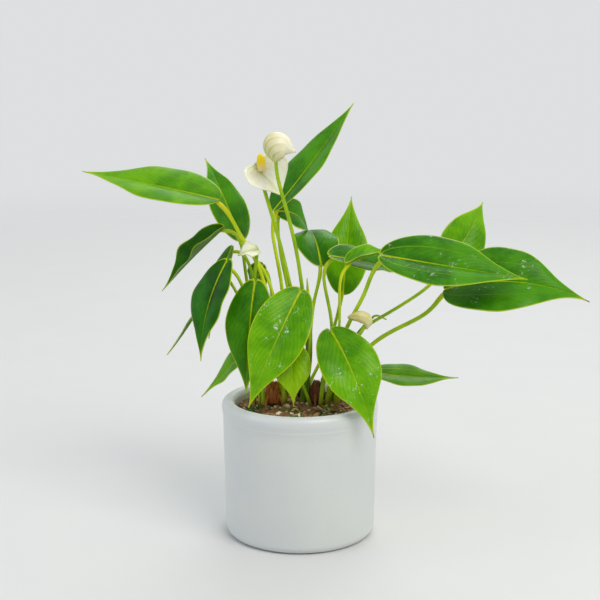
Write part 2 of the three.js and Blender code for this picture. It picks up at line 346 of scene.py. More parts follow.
@dataclass
class BladeForm:
    """The midrib, directions, width and fold of one blade, as its frame node holds them."""

    ends: np.ndarray  # start, control point and end of the midrib
    shares: np.ndarray  # where the directions are known, along the midrib
    across: np.ndarray
    up: np.ndarray
    half: float
    fold: float

    @classmethod
    def read(cls, node: str, near: Sequence[float],
             outline: Callable[[np.ndarray], np.ndarray]) -> "BladeForm":
        """Recovers a blade from its frame node.

        Args:
            node: The frame node's name.
            near: A point near the blade's base.
            outline: Half-width over the widest half-width, at a share of the length.

        Returns:
            The blade's form.
        """
        rings = read_rings(node, BLADE_CORNERS, near)
        # Corners of a ring: one edge first, then the upper face, the other edge and the under face.
        far = BLADE_CORNERS // 2
        top, below = BLADE_CORNERS // 4, 3 * BLADE_CORNERS // 4
        spans = np.linalg.norm(rings[:, :far] - rings[:, far:], axis=-1)
        widest, edge = (int(i) for i in np.unravel_index(np.argmax(spans), spans.shape))
        ring = np.roll(rings[widest], -edge, 0)
        rise = (ring[0] + ring[far]) / 2 - (ring[top] + ring[below]) / 2
        if (ring[top] - ring[below]) @ rise < 0:
            edge += far
        rings = np.roll(rings, -edge, 1)
        shares = (np.arange(FRAME_STEPS + 1) / FRAME_STEPS) ** FRAME_CROWDING
        rib = (rings[:, top] + rings[:, below]) / 2
        inner = (FRAME_STEPS + 1) // 2  # a section well inside, which gives the control point
        v = shares[inner]
        control = (rib[inner] - (1 - v) ** 2 * rib[0] - v * v * rib[-1]) / (2 * v * (1 - v))
        across = unit(rings[:, far] - rings[:, 0])
        up = unit(rings[:, top] - rings[:, below])
        flat = np.linalg.norm(rings[widest, far] - rings[widest, 0]) / 2
        lift = abs(rise @ up[widest])
        half = math.hypot(flat, lift) / float(outline(shares[widest]))
        return cls(np.array([rib[0], control, rib[-1]]), shares, across, up, half,
                   math.atan2(lift, flat))

    def rib(self, v: np.ndarray) -> np.ndarray:
        """Points of the midrib at shares v of its length."""
        a, b, c = self.ends
        v = v[:, None]
        return (1 - v) ** 2 * a + 2 * v * (1 - v) * b + v * v * c

    def heading(self, v: np.ndarray) -> np.ndarray:
        """Directions of the midrib at shares v of its length."""
        a, b, c = self.ends
        v = v[:, None]
        return unit(2 * (1 - v) * (b - a) + 2 * v * (c - b))

    def directions(self, v: np.ndarray) -> tuple[np.ndarray, np.ndarray]:
        """Directions across the blade and out of its upper face, at shares v of its length."""
        across = np.column_stack([np.interp(v, self.shares, self.across[:, k]) for k in range(3)])
        up = np.column_stack([np.interp(v, self.shares, self.up[:, k]) for k in range(3)])
        return unit(across), unit(up)

    def length(self) -> float:
        """The midrib's length in metres."""
        return float(np.linalg.norm(np.diff(self.rib(np.linspace(0, 1, 30)), axis=0), axis=1).sum())


def leaf_form(name: str) -> BladeForm:
    """Recovers the blade of a leaf, whose base is where its stalk ends."""
    return BladeForm.read(f"leaf_{name}", stalk_rings(f"petiole_{name}")[-1].mean(0), leaf_outline)


def leaf_outline(v: np.ndarray) -> np.ndarray:
    """Half-width of a leaf of the frame: a round base, widest before the middle, a long tip."""
    return np.sin(np.pi * np.asarray(v, float) ** 0.72) ** (0.75 + 0.6 * np.asarray(v, float))


def fine_outline(v: np.ndarray) -> np.ndarray:
    """Half-width of a dressed leaf, over its widest: as in the frame, with a fuller base."""
    return np.sin(np.pi * np.asarray(v, float) ** 0.68) ** (0.65 + 0.7 * np.asarray(v, float))


def spathe_outline(v: np.ndarray) -> np.ndarray:
    """Half-width of a spathe of the frame: nearly round, with a short tip."""
    return np.sin(np.pi * np.asarray(v, float) ** 0.85) ** (0.55 + 0.5 * np.asarray(v, float))


# ---------------------------------------------------------------- making pieces


class Shape:
    """Points, faces and painted values gathered for one piece."""

    def __init__(self, *painted: str) -> None:
        """Starts empty, with the names of the painted values that every part brings."""
        self.points: list[np.ndarray] = []
        self.faces: list[tuple[int, ...]] = []
        self.values: dict[str, list[np.ndarray]] = {name: [] for name in painted}
        self.count = 0

    def add(self, points: np.ndarray, faces: Iterable[Sequence[int]], values: Values) -> None:
        """Adds a part.

        Args:
            points: The part's points.
            faces: Its faces, numbered from its own first point.
            values: Three painted values for each point, or for all of them, by name.
        """
        points = np.asarray(points, float)
        self.points.append(points)
        self.faces.extend(tuple(int(i) + self.count for i in f) for f in faces)
        for name, held in self.values.items():
            held.append(np.broadcast_to(np.asarray(values[name], float), points.shape).copy())
        self.count += len(points)

    def loft(self, rings: np.ndarray, values: Values) -> None:
        """Adds a closed body through rings of points.

        Args:
            rings: Rings, points round each and coordinates.
            values: Painted values for each ring and point, by name.
        """
        rows, around = rings.shape[:2]
        faces: list[tuple[int, ...]] = []
        for i in range(rows - 1):
            for j in range(around):
                k = (j + 1) % around
                faces.append((i * around + j, i * around + k,
                              (i + 1) * around + k, (i + 1) * around + j))
        first, last = rows * around, rows * around + 1
        for j in range(around):
            k = (j + 1) % around
            faces.append((first, k, j))
            faces.append((last, (rows - 1) * around + j, (rows - 1) * around + k))
        points = np.vstack([rings.reshape(-1, 3), rings[0].mean(0), rings[-1].mean(0)])
        painted = {}
        for name in self.values:
            held = np.broadcast_to(np.asarray(values[name], float), rings.shape)
            painted[name] = np.vstack([held.reshape(-1, 3), held[0].mean(0), held[-1].mean(0)])
        self.add(points, faces, painted)

    def piece(self, name: str, finish: bpy.types.Material,
              stands_for: Sequence[str] = (), smooth: bool = True) -> bpy.types.Object:
        """Makes the piece and hangs it on the frame.

        Args:
            name: The piece's name.
            finish: Its material.
            stands_for: Frame nodes that it replaces.
            smooth: Whether its faces are shaded smoothly.

        Returns:
            The piece.
        """
        mesh = bpy.data.meshes.new(name)
        mesh.from_pydata(np.vstack(self.points).tolist(), [], self.faces)
        for painted, parts in self.values.items():
            layer = mesh.attributes.new(painted, "FLOAT_VECTOR", "POINT")
            layer.data.foreach_set("vector", np.vstack(parts).astype(np.float32).ravel())
        work = bmesh.new()
        work.from_mesh(mesh)
        bmesh.ops.recalc_face_normals(work, faces=work.faces)
        work.to_mesh(mesh)
        work.free()
        mesh.polygons.foreach_set("use_smooth", [smooth] * len(mesh.polygons))
        mesh.materials.append(finish)
        made = bpy.data.objects.new(name, mesh)
        bpy.context.scene.collection.objects.link(made)
        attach(made, BODY)
        if stands_for:
            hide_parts(*stands_for)
        return made


def carried_frames(centres: np.ndarray) -> tuple[np.ndarray, np.ndarray]:
    """Carries a pair of directions along a curve without twisting them.

    Args:
        centres: The curve's points.

    Returns:
        The two directions across the curve at each point.
    """
    tangents = unit(np.gradient(centres, axis=0))
    side = np.array([1.0, 0, 0])
    if abs(tangents[0] @ side) > 0.9:
        side = np.array([0, 1.0, 0])
    sides = []
    for tangent in tangents:
        side = unit(side - (side @ tangent) * tangent)
        sides.append(side)
    sides = np.array(sides)
    return sides, np.cross(tangents, sides)


def fan(turns: np.ndarray, sides: np.ndarray, others: np.ndarray) -> np.ndarray:
    """Gives spokes at turns about a curve.

    Args:
        turns: The spokes' turns from the first direction towards the second, in radians.
        sides: The first direction across the curve at each of its points.
        others: The second direction.

    Returns:
        The spokes by the curve's point and by turn.
    """
    return (np.cos(turns)[None, :, None] * sides[:, None]
            + np.sin(turns)[None, :, None] * others[:, None])


def crowded(count: int, power: float) -> np.ndarray:
    """Shares from 0 to 1 that lie closer together at both ends; the power sets how the first do."""
    s = np.linspace(0, 1, count)
    return s**power * (1 - s) + (1 - (1 - s) ** 1.3) * s


def both_halves(count: int, power: float) -> tuple[np.ndarray, np.ndarray, np.ndarray]:
    """Spaces columns across a blade, closer together beside its midrib.

    Args:
        count: How many columns each half has.
        power: How much closer they are.

    Returns:
        Each column's place from -1 to 1, its side, and how far out it is, as rows.
    """
    columns = np.linspace(0, 1, count) ** power
    u = np.concatenate([-columns[::-1], columns[1:]])[None]
    return u, np.sign(u), np.abs(u)


def circle(count: int) -> np.ndarray:
    """Turns evenly spaced round a full circle, in radians."""
    return np.linspace(0, 2 * np.pi, count, endpoint=False)


def round_sheet(top: np.ndarray, rim: np.ndarray, below: np.ndarray) -> np.ndarray:
    """Orders values as a thin sheet's rings run: upper face, rim, under face, rim."""
    return np.concatenate([top, rim[:, 1:], below[:, ::-1], rim[:, :1]], axis=1)


def sheet_rings(middle: np.ndarray, across: np.ndarray, up: np.ndarray, above: np.ndarray,
                under: np.ndarray) -> np.ndarray:
    """Gives a thin sheet its two faces and its rims.

    Args:
        middle: The points of its middle surface, by row and column.
        across: The direction across each row.
        up: The direction out of each row's upper face.
        above: How far the upper face stands over the middle surface.
        under: How far the under face lies below it.

    Returns:
        A ring of points round each row.
    """
    normal = unit(np.cross(np.gradient(middle, axis=1), np.gradient(middle, axis=0)))
    normal = normal * np.sign(np.sum(normal * up[:, None], -1, keepdims=True))
    edge = across[:, None] * np.array([-1.0, 1.0])[None, :, None] * EDGE_BULGE * MM
    return round_sheet(middle + normal * above[..., None], middle[:, [0, -1]] + edge,
                       middle - normal * under[..., None])


# ---------------------------------------------------------------- finishes


@dataclass(frozen=True)
class SatinGlaze:
    """Stoneware slip-cast and dipped in a matt-white glaze: a pale, cool, silky skin that pools a
    little, holds soft wide highlights and shows a few pin-holes."""

    body: str = "#d2d7d7"
    thin: str = "#d6dad7"
    pinhole: str = "#a9aca4"
    roughness: float = 0.36

    def material(self) -> bpy.types.Material:
        """Makes the glaze's material.

        Returns:
            The material.
        """
        material, tree, shader = new_finish("satin_white_glaze", Coat_Weight=0.25,
                                            Coat_Roughness=0.3, IOR=1.5)
        where = in_millimetres(tree)
        # Glaze clouds where it ran thicker, about 25 mm across.
        cloud = put(tree, "TexNoise", None,
                    {"Vector": where, "Scale": 0.04, "Detail": 3.0, "Roughness": 0.55})
        cloudy = put(tree, "MapRange", SMOOTH, {0: cloud, 1: 0.35, 2: 0.65})
        body = put(tree, "Mix", COLOURS, {0: cloudy, 6: srgb(self.body), 7: srgb(self.thin)})
        # Pin-holes of 0.25 mm, drawn twice that wide so that they show, one to 50 square mm or so.
        cells = put(tree, "TexVoronoi", None, {"Vector": where, "Scale": 0.33})
        dot = put(tree, "MapRange", SMOOTH, {0: cells, 1: 0.05, 2: 0.11, 3: 1.0, 4: 0.0})
        few = put(tree, "Math", {"operation": "GREATER_THAN"},
                  {0: (put(tree, "SeparateColor", None, {0: (cells, "Color")}), 0),
                   1: 0.82})
        dots = put(tree, "Math", TIMES, {0: dot, 1: few})
        faint = put(tree, "Math", TIMES, {0: dots, 1: 0.35})
        colour = put(tree, "Mix", COLOURS, {0: faint, 6: body, 7: srgb(self.pinhole)})
        rough = put(tree, "MapRange", None,
                    {0: cloud, 1: 0.2, 2: 0.8, 3: self.roughness - 0.05, 4: self.roughness + 0.07})
        # The fired skin's orange peel, 2.5 mm from crest to crest.
        peel = put(tree, "TexNoise", None, {"Vector": where, "Scale": 0.4, "Detail": 2.0})
        sunk = put(tree, "Math", {"operation": "SUBTRACT"}, {0: peel, 1: dots})
        bump = put(tree, "Bump", None, {"Height": sunk, "Strength": 0.25, "Distance": 0.15 * MM})
        feed(tree, shader, {"Base Color": colour, "Roughness": rough, "Normal": bump})
        return material


@dataclass(frozen=True)
class BareClay:
    """The fired body of the pot's foot, left unglazed: chalky, warm and fine-grained."""

    light: str = "#d8cbb4"
    dark: str = "#b9a88d"

    def material(self) -> bpy.types.Material:
        """Makes the bare clay's material.

        Returns:
            The material.
        """
        material, tree, shader = new_finish("bare_fired_clay", Roughness=0.9)
        where = in_millimetres(tree)
        grain = put(tree, "TexNoise", None,
                    {"Vector": where, "Scale": 1.6, "Detail": 4.0})  # grog of 0.6 mm
        colour = put(tree, "ValToRGB", {"ramp": [(0.3, self.dark), (0.7, self.light)]}, {0: grain})
        bump = put(tree, "Bump", None, {"Height": grain, "Strength": 0.5, "Distance": 0.1 * MM})
        feed(tree, shader, {"Base Color": colour, "Normal": bump})
        return material


class Tone(Enum):
    """How dark a leaf's green is, for its age and as painted shade on leaves that lie in shadow:
    its deep green, its bright green and its veins.
    """

    DARK = ("#144e02", "#2c7c04", "#6a9c18")
    MATURE = ("#297002", "#509e06", "#98bc18")
    BRIGHT = ("#4a9400", "#7ac006", "#b8d41c")
    FRESH = ("#6ca602", "#9cd00e", "#c8e02c")


@dataclass(frozen=True)
class WaxyLeaf:
    """A living leaf's skin: leathery, satin with wax, saturated green over a paler net of veins,
    edged by a thin yellow-green margin; its under face is paler and duller."""

    tone: Tone
    margin: str = "#bcd018"
    scorch: str = "#6e4a1c"
    residue: str = "#e6eede"
    glow: str = "#a8d414"  # the light that comes through it
    share_through: float = 0.16
    roughness: float = 0.36

    def material(self) -> bpy.types.Material:
        """Makes the leaf's material, which reads what Foliage paints on its blades.

        Returns:
            The material.
        """
        deep, bright, vein = self.tone.value
        material, tree, shader = new_finish(
            f"waxy_leaf_{self.tone.name.lower()}", IOR=1.45, Specular_IOR_Level=0.12,
            Coat_Weight=0.14, Coat_Roughness=0.2)
        where = in_millimetres(tree)
        place = painted(tree, "blade_place")
        gauge = painted(tree, "blade_gauge")
        mark = painted(tree, "blade_mark")
        # Flesh: clouds of green 12 mm across, with a finer mottle of 1.5 mm.
        cloud = put(tree, "TexNoise", None,
                    {"Vector": where, "Scale": 0.08, "Detail": 5.0, "Roughness": 0.6})
        # It is brighter towards the tip.
        towards_tip = put(tree, "Math", {"operation": "MULTIPLY_ADD"},
                      {0: (place, 1), 1: 0.3, 2: cloud})
        flesh = put(tree, "MapRange", SMOOTH, {0: towards_tip, 1: 0.42, 2: 0.82})
        green = put(tree, "Mix", COLOURS, {0: flesh, 6: srgb(deep), 7: srgb(bright)})
        # Side veins, 4.4 mm apart as in a leaf of this size, drawn 0.5 mm wide.
        beside = put(tree, "Math", {"operation": "PINGPONG"}, {0: (mark, 0), 1: 0.5})
        line = put(tree, "MapRange", SMOOTH, {0: beside, 1: 0.0, 2: 0.11, 3: 1.0, 4: 0.0})
        clear = put(tree, "MapRange", SMOOTH, {0: (gauge, 1), 1: 0.8, 2: 2.5})
        side_vein = put(tree, "Math", TIMES, {0: line, 1: clear})
        side_tint = put(tree, "Math", TIMES, {0: side_vein, 1: 0.09})
        veined = put(tree, "Mix", COLOURS, {0: side_tint, 6: green, 7: srgb(vein)})
        # The two main side veins, 0.6 mm wide, run beside the margin and fade past the middle.
        main = put(tree, "MapRange", SMOOTH, {0: (gauge, 2), 1: 0.12, 2: 0.5, 3: 1.0, 4: 0.0})
        main_fade = put(tree, "MapRange", SMOOTH,
                        {0: (place, 1), 1: 0.05, 2: 0.85, 3: 0.5, 4: 0.05})
        main_vein = put(tree, "Math", TIMES, {0: main, 1: main_fade})
        with_main = put(tree, "Mix", COLOURS, {0: main_vein, 6: veined, 7: srgb(vein)})
        # The midrib: 1.1 mm wide at the base, under half of that and fainter towards the tip.
        taper = put(tree, "MapRange", None, {0: (place, 1), 1: 0.0, 2: 0.8, 3: 1.0, 4: 2.6})
        broad = put(tree, "Math", TIMES, {0: (gauge, 0), 1: taper})
        rib = put(tree, "MapRange", SMOOTH, {0: broad, 1: 0.3, 2: 0.85, 3: 1.0, 4: 0.0})
        rib_fade = put(tree, "MapRange", SMOOTH, {0: (place, 1), 1: 0.1, 2: 0.85, 3: 1.0, 4: 0.3})
        rib_tint = put(tree, "Math", TIMES, {0: rib, 1: rib_fade})
        ribbed = put(tree, "Mix", COLOURS, {0: rib_tint, 6: with_main, 7: srgb(self.margin)})
        # Dried hard water: crusts and drop rings of 3 to 5 mm, only where mark's third value is up.
        crust = put(tree, "TexNoise", None,
                    {"Vector": where, "Scale": 0.6, "Detail": 4.0, "Roughness": 0.7})
        patch = put(tree, "TexNoise", None, {"Vector": where, "Scale": 0.11})
        fleck = put(tree, "MapRange", SMOOTH, {0: crust, 1: 0.6, 2: 0.65})
        drops = put(tree, "TexVoronoi", None, {"Vector": where, "Scale": 0.17})
        off_ring = put(tree, "Math", {"operation": "SUBTRACT"}, {0: drops, 1: 0.36})
        ring = put(tree, "MapRange", SMOOTH,
                   {0: put(tree, "Math", {"operation": "ABSOLUTE"}, {0: off_ring}),
                    1: 0.0, 2: 0.028, 3: 0.8, 4: 0.0})
        broken = put(tree, "MapRange", SMOOTH, {0: crust, 1: 0.47, 2: 0.56})
        arc = put(tree, "Math", TIMES, {0: ring, 1: broken})
        spots = put(tree, "Math", {"operation": "MAXIMUM"}, {0: fleck, 1: arc})
        here = put(tree, "MapRange", SMOOTH, {0: patch, 1: 0.52, 2: 0.61})
        dried = put(tree, "Math", TIMES, {0: spots, 1: here})
        upper = put(tree, "Math", TIMES, {0: dried, 1: (mark, 2)})
        washed = put(tree, "Mix", COLOURS, {0: upper, 6: ribbed, 7: srgb(self.residue)})
        # The under face is paler: mixed half-way to a dull yellow-green.
        under = put(tree, "Math", TIMES, {0: (place, 2), 1: 0.5})
        backed = put(tree, "Mix", COLOURS, {0: under, 6: washed, 7: srgb("#7fa83a")})
        # The margin, 0.4 mm wide, and a scorched tip where the second mark is up.
        edge = put(tree, "MapRange", SMOOTH, {0: (gauge, 1), 1: 0.2, 2: 0.62, 3: 0.92, 4: 0.0})
        edged = put(tree, "Mix", COLOURS, {0: edge, 6: backed, 7: srgb(self.margin)})
        burnt = put(tree, "Mix", COLOURS, {0: (mark, 1), 6: edged, 7: srgb(self.scorch)})
        fine = put(tree, "TexNoise", None,
                   {"Vector": where, "Scale": 1.2, "Detail": 3.0, "Roughness": 0.6})
        sheen = put(tree, "MapRange", None,
                    {0: fine, 1: 0.25, 2: 0.75, 3: self.roughness - 0.05, 4: self.roughness + 0.08})
        dull = put(tree, "Math", TIMES, {0: upper, 1: 0.35})
        duller = put(tree, "Math", PLUS, {0: sheen, 1: dull})
        back = put(tree, "Math", TIMES, {0: (place, 2), 1: 0.15})
        rough = put(tree, "Math", PLUS, {0: duller, 1: back})
        # Relief: veins sunk into the upper face, flesh puffed between them, pores of 0.8 mm.
        veins = put(tree, "Math", {"operation": "MAXIMUM"}, {0: side_vein, 1: main_vein})
        sunk = put(tree, "Math", TIMES, {0: veins, 1: -0.7})
        pores = put(tree, "Math", TIMES, {0: fine, 1: 0.5})
        relief = put(tree, "Math", PLUS, {0: sunk, 1: pores})
        bump = put(tree, "Bump", None, {"Height": relief, "Strength": 0.8, "Distance": 0.32 * MM})
        feed(tree, shader, {"Base Color": burnt, "Roughness": rough, "Normal": bump})
        through_it = put(tree, "BsdfTranslucent", None, {0: srgb(self.glow)})
        both = put(tree, "MixShader", None, {0: self.share_through, 1: shader, 2: through_it})
        feed(tree, tree.nodes["Material Output"], {0: both})
        return material


@dataclass(frozen=True)
class StalkSkin:
    """A leaf or flower stalk's skin: smooth and juicy, yellow-green with a painted highlight on the
    flank that faces up and left, faint ridges along it, a swollen olive-yellow knee and a brownish
    foot."""

    name: str
    green: str
    light: str
    knee: str
    foot: str = "#8a5a2c"

    def material(self) -> bpy.types.Material:
        """Makes the stalk's material, which reads what the stalks are painted with.

        Returns:
            The material.
        """
        material, tree, shader = new_finish(
            self.name, IOR=1.42, Specular_IOR_Level=0.2, Coat_Weight=0.1, Coat_Roughness=0.2)
        where = in_millimetres(tree)
        place = painted(tree, "stalk_place")
        patchy = put(tree, "TexNoise", None,
                     {"Vector": where, "Scale": 0.12, "Detail": 4.0})  # patches of 8 mm
        # Painted highlight: the flank that faces up and left, as the stalks paint it, is mixed
        # towards the light green.
        lit_flank = put(tree, "Math", TIMES, {0: (place, 2), 1: 0.45})
        mottle = put(tree, "MapRange", SMOOTH, {0: patchy, 1: 0.3, 2: 0.75, 3: 0.0, 4: 0.65})
        share = put(tree, "Math", {"operation": "ADD", "use_clamp": True}, {0: lit_flank, 1: mottle})
        skin = put(tree, "Mix", COLOURS, {0: share, 6: srgb(self.green), 7: srgb(self.light)})
        kneed = put(tree, "Mix", COLOURS, {0: (place, 1), 6: skin, 7: srgb(self.knee)})
        # Ridges 0.35 mm apart round the stalk, held off the knee.
        ridges = put(tree, "TexNoise", None,
                     {"Vector": put(tree, "VectorMath", TIMES,
                                    {0: where, 1: (2.8, 2.8, 0.12)}), "Scale": 1.0, "Detail": 2.0})
        streak = put(tree, "MapRange", SMOOTH, {0: ridges, 1: 0.5, 2: 0.8, 3: 0.0, 4: 0.35})
        streaked = put(tree, "Mix", COLOURS, {0: streak, 6: kneed, 7: srgb(self.light)})
        low = put(tree, "MapRange", SMOOTH, {0: (place, 0), 1: 1.0, 2: 7.0, 3: 0.85, 4: 0.0})
        footed = put(tree, "Mix", COLOURS, {0: low, 6: streaked, 7: srgb(self.foot)})
        rough = put(tree, "MapRange", None, {0: ridges, 1: 0.2, 2: 0.8, 3: 0.34, 4: 0.48})
        bump = put(tree, "Bump", None, {"Height": ridges, "Strength": 0.4, "Distance": 0.12 * MM})
        feed(tree, shader, {"Base Color": footed, "Roughness": rough, "Normal": bump})
        return material


@dataclass(frozen=True)
class SpatheSkin:
    """A spathe's skin: thin, waxy cream bract, flushed green at its base, veins and edge."""

    name: str = "cream_bract"
    cream: str = "#fffdf2"
    shade: str = "#f7f3dc"
    green: str = "#a9ba48"
    blush: str = "#a8745a"

    def material(self) -> bpy.types.Material:
        """Makes the bract's material, which reads what Blooms paints on it.

        Returns:
            The material.
        """
        material, tree, shader = new_finish(
            self.name, IOR=1.42, Subsurface_Weight=0.3, Subsurface_Scale=1.0 * MM,
            Subsurface_Radius=(1.0, 0.9, 0.5), Coat_Weight=0.1, Coat_Roughness=0.35)
        where = in_millimetres(tree)
        paint = painted(tree, "bract_paint")
        cloud = put(tree, "TexNoise", None,
                    {"Vector": where, "Scale": 0.35, "Detail": 4.0})  # clouds of 3 mm
        body = put(tree, "Mix", COLOURS,
                   {0: put(tree, "MapRange", None, {0: cloud, 1: 0.35, 2: 0.7}),
                    6: srgb(self.cream), 7: srgb(self.shade)})
        # Veins, each drawn about a fifth as wide as Blooms sets them apart, which is 1 to 3 mm.
        beside = put(tree, "Math", {"operation": "PINGPONG"}, {0: (paint, 1), 1: 0.5})
        line = put(tree, "MapRange", SMOOTH, {0: beside, 1: 0.02, 2: 0.2, 3: 1.0, 4: 0.0})
        drawn = put(tree, "Math", {"operation": "MULTIPLY_ADD"}, {0: (paint, 0), 1: 0.9, 2: 0.1})
        vein = put(tree, "Math", TIMES, {0: line, 1: drawn})
        flush = put(tree, "Math", TIMES, {0: (paint, 0), 1: 0.66})
        both = put(tree, "Math", {"operation": "ADD", "use_clamp": True},
                   {0: flush, 1: put(tree, "Math", TIMES,
                                     {0: vein, 1: 0.5})})
        greened = put(tree, "Mix", COLOURS, {0: both, 6: body, 7: srgb(self.green)})
        tipped = put(tree, "Mix", COLOURS, {0: (paint, 2), 6: greened, 7: srgb(self.blush)})
        rough = put(tree, "MapRange", None, {0: cloud, 1: 0.3, 2: 0.7, 3: 0.38, 4: 0.52})
        relief = put(tree, "Math", {"operation": "SUBTRACT"},
                     {0: put(tree, "Math", TIMES, {0: cloud, 1: 0.4}),
                      1: line})
        bump = put(tree, "Bump", None, {"Height": relief, "Strength": 0.3, "Distance": 0.15 * MM})
        feed(tree, shader, {"Base Color": tipped, "Roughness": rough, "Normal": bump})
        return material


@dataclass(frozen=True)
class PollenGrain:
    """The spadix's skin: hundreds of tiny packed florets, dusty yellow, paler at the foot, with
    painted shade in the gaps between them.
    """

    ripe: str = "#ffe40c"
    pale: str = "#ffe6b4"
    gap_shade: str = "#ffd000"

    def material(self) -> bpy.types.Material:
        """Makes the spadix's material, which reads what Blooms paints on it.

        Returns:
            The material.
        """
        material, tree, shader = new_finish("dusty_florets", Roughness=0.62,
                                            Specular_IOR_Level=0.3)
        where = in_millimetres(tree)
        paint = painted(tree, "floret_paint")
        foot = put(tree, "MapRange", SMOOTH, {0: (paint, 0), 1: 0.12, 2: 0.55, 3: 0.85, 4: 0.0})
        along = put(tree, "Mix", COLOURS, {0: foot, 6: srgb(self.ripe), 7: srgb(self.pale)})
        # Painted shade: the gaps between florets are painted a deeper yellow.
        low = put(tree, "MapRange", None, {0: (paint, 1), 1: 0.0, 2: 0.5, 3: 0.6, 4: 0.0})
        shaded_gaps = put(tree, "Mix", COLOURS, {0: low, 6: along, 7: srgb(self.gap_shade)})
        dust = put(tree, "TexNoise", None,
                   {"Vector": where, "Scale": 5.0, "Detail": 2.0})  # pollen of 0.2 mm
        bump = put(tree, "Bump", None, {"Height": dust, "Strength": 0.4, "Distance": 0.08 * MM})
        feed(tree, shader, {"Base Color": shaded_gaps, "Normal": bump})
        return material


@dataclass(frozen=True)
class PaperySheath:
    """A dried sheath leaf: thin, fibrous and russet, split along its fibres, paler at the rims."""

    name: str
    dark: str = "#7a3410"
    russet: str = "#b8641c"
    pale: str = "#dc9c48"

    def material(self) -> bpy.types.Material:
        """Makes the sheath's material, which reads what ShootBases paints on it.

        Returns:
            The material.
        """
        material, tree, shader = new_finish(self.name, Roughness=0.62)
        where = in_millimetres(tree)
        paint = painted(tree, "sheath_paint")
        # Fibres 0.55 mm apart that run up the sheath.
        fibre = put(tree, "TexNoise", None,
                    {"Vector": put(tree, "VectorMath", TIMES,
                                   {0: where, 1: (1.8, 1.8, 0.15)}), "Scale": 1.0, "Detail": 3.0,
                     "Roughness": 0.55})
        body = put(tree, "ValToRGB",
                   {"ramp": [(0.1, self.dark), (0.5, self.russet), (0.95, self.pale)]}, {0: fibre})
        rim = put(tree, "Math", TIMES, {0: (paint, 0), 1: 0.6})
        rimmed = put(tree, "Mix", COLOURS, {0: rim, 6: body, 7: srgb(self.pale)})
        # Darker towards the bottom of each sheath.
        darker_low = put(tree, "Mix", COLOURS, {0: (paint, 1), 6: rimmed, 7: srgb(self.dark)})
        bump = put(tree, "Bump", None, {"Height": fibre, "Strength": 0.3, "Distance": 0.15 * MM})
        feed(tree, shader, {"Base Color": darker_low, "Normal": bump})
        return material


@dataclass(frozen=True)
class Crumb:
    """Loose growing stuff, such as peat, bark or moss: rough, dry and mixed in colour."""

    name: str
    colours: tuple[str, str, str, str]
    grain_mm: float
    roughness: float = 0.92

    def material(self) -> bpy.types.Material:
        """Makes the material; a painted value per crumb picks its colour.

        Returns:
            The material.
        """
        material, tree, shader = new_finish(self.name, Roughness=self.roughness)
        where = in_millimetres(tree)
        paint = painted(tree, "crumb_paint")
        grain = put(tree, "TexNoise", None,
                    {"Vector": where, "Scale": 1 / self.grain_mm, "Detail": 6.0,
                     "Roughness": 0.7})
        swing = put(tree, "Math", {"operation": "MULTIPLY_ADD"}, {0: grain, 1: 0.9, 2: -0.45})
        pick = put(tree, "Math", {"operation": "ADD", "use_clamp": True}, {0: (paint, 0), 1: swing})
        first, second, third, last = self.colours
        colour = put(tree, "ValToRGB",
                     {"ramp": [(0.05, first), (0.38, second), (0.7, third), (0.97, last)]},
                     {0: pick})
        bump = put(tree, "Bump", None, {"Height": grain, "Strength": 0.8, "Distance": 0.35 * MM})
        feed(tree, shader, {"Base Color": colour, "Normal": bump})
        return material


@dataclass(frozen=True)
class PaintedBoard:
    """Matt painted board: an even pale grey with the faintest roller stipple."""

    fade_from: float  # how far out it starts to melt into the daylight, in metres
    gone_by: float
    pale: str = "#d9dada"
    paler: str = "#dddedd"

    def material(self) -> bpy.types.Material:
        """Makes the board's material, which grows clear far from the plant.

        Returns:
            The material.
        """
        material, tree, shader = new_finish("pale_painted_board", Roughness=0.8,
                                            Specular_IOR_Level=0.2)
        where = in_millimetres(tree)
        stipple = put(tree, "TexNoise", None, {"Vector": where, "Scale": 0.02, "Detail": 3.0})
        tint = put(tree, "Mix", COLOURS, {0: stipple, 6: srgb(self.pale), 7: srgb(self.paler)})
        feed(tree, shader, {"Base Color": tint})
        reach = put(tree, "VectorMath", {"operation": "LENGTH"}, {0: where})
        gone = put(tree, "MapRange", SMOOTH,
                   {0: (reach, 1), 1: self.fade_from / MM, 2: self.gone_by / MM})
        both = put(tree, "MixShader", None, {0: gone, 1: shader, 2: put(tree, "BsdfTransparent")})
        feed(tree, tree.nodes["Material Output"], {0: both})
        return material


# ---------------------------------------------------------------- pot


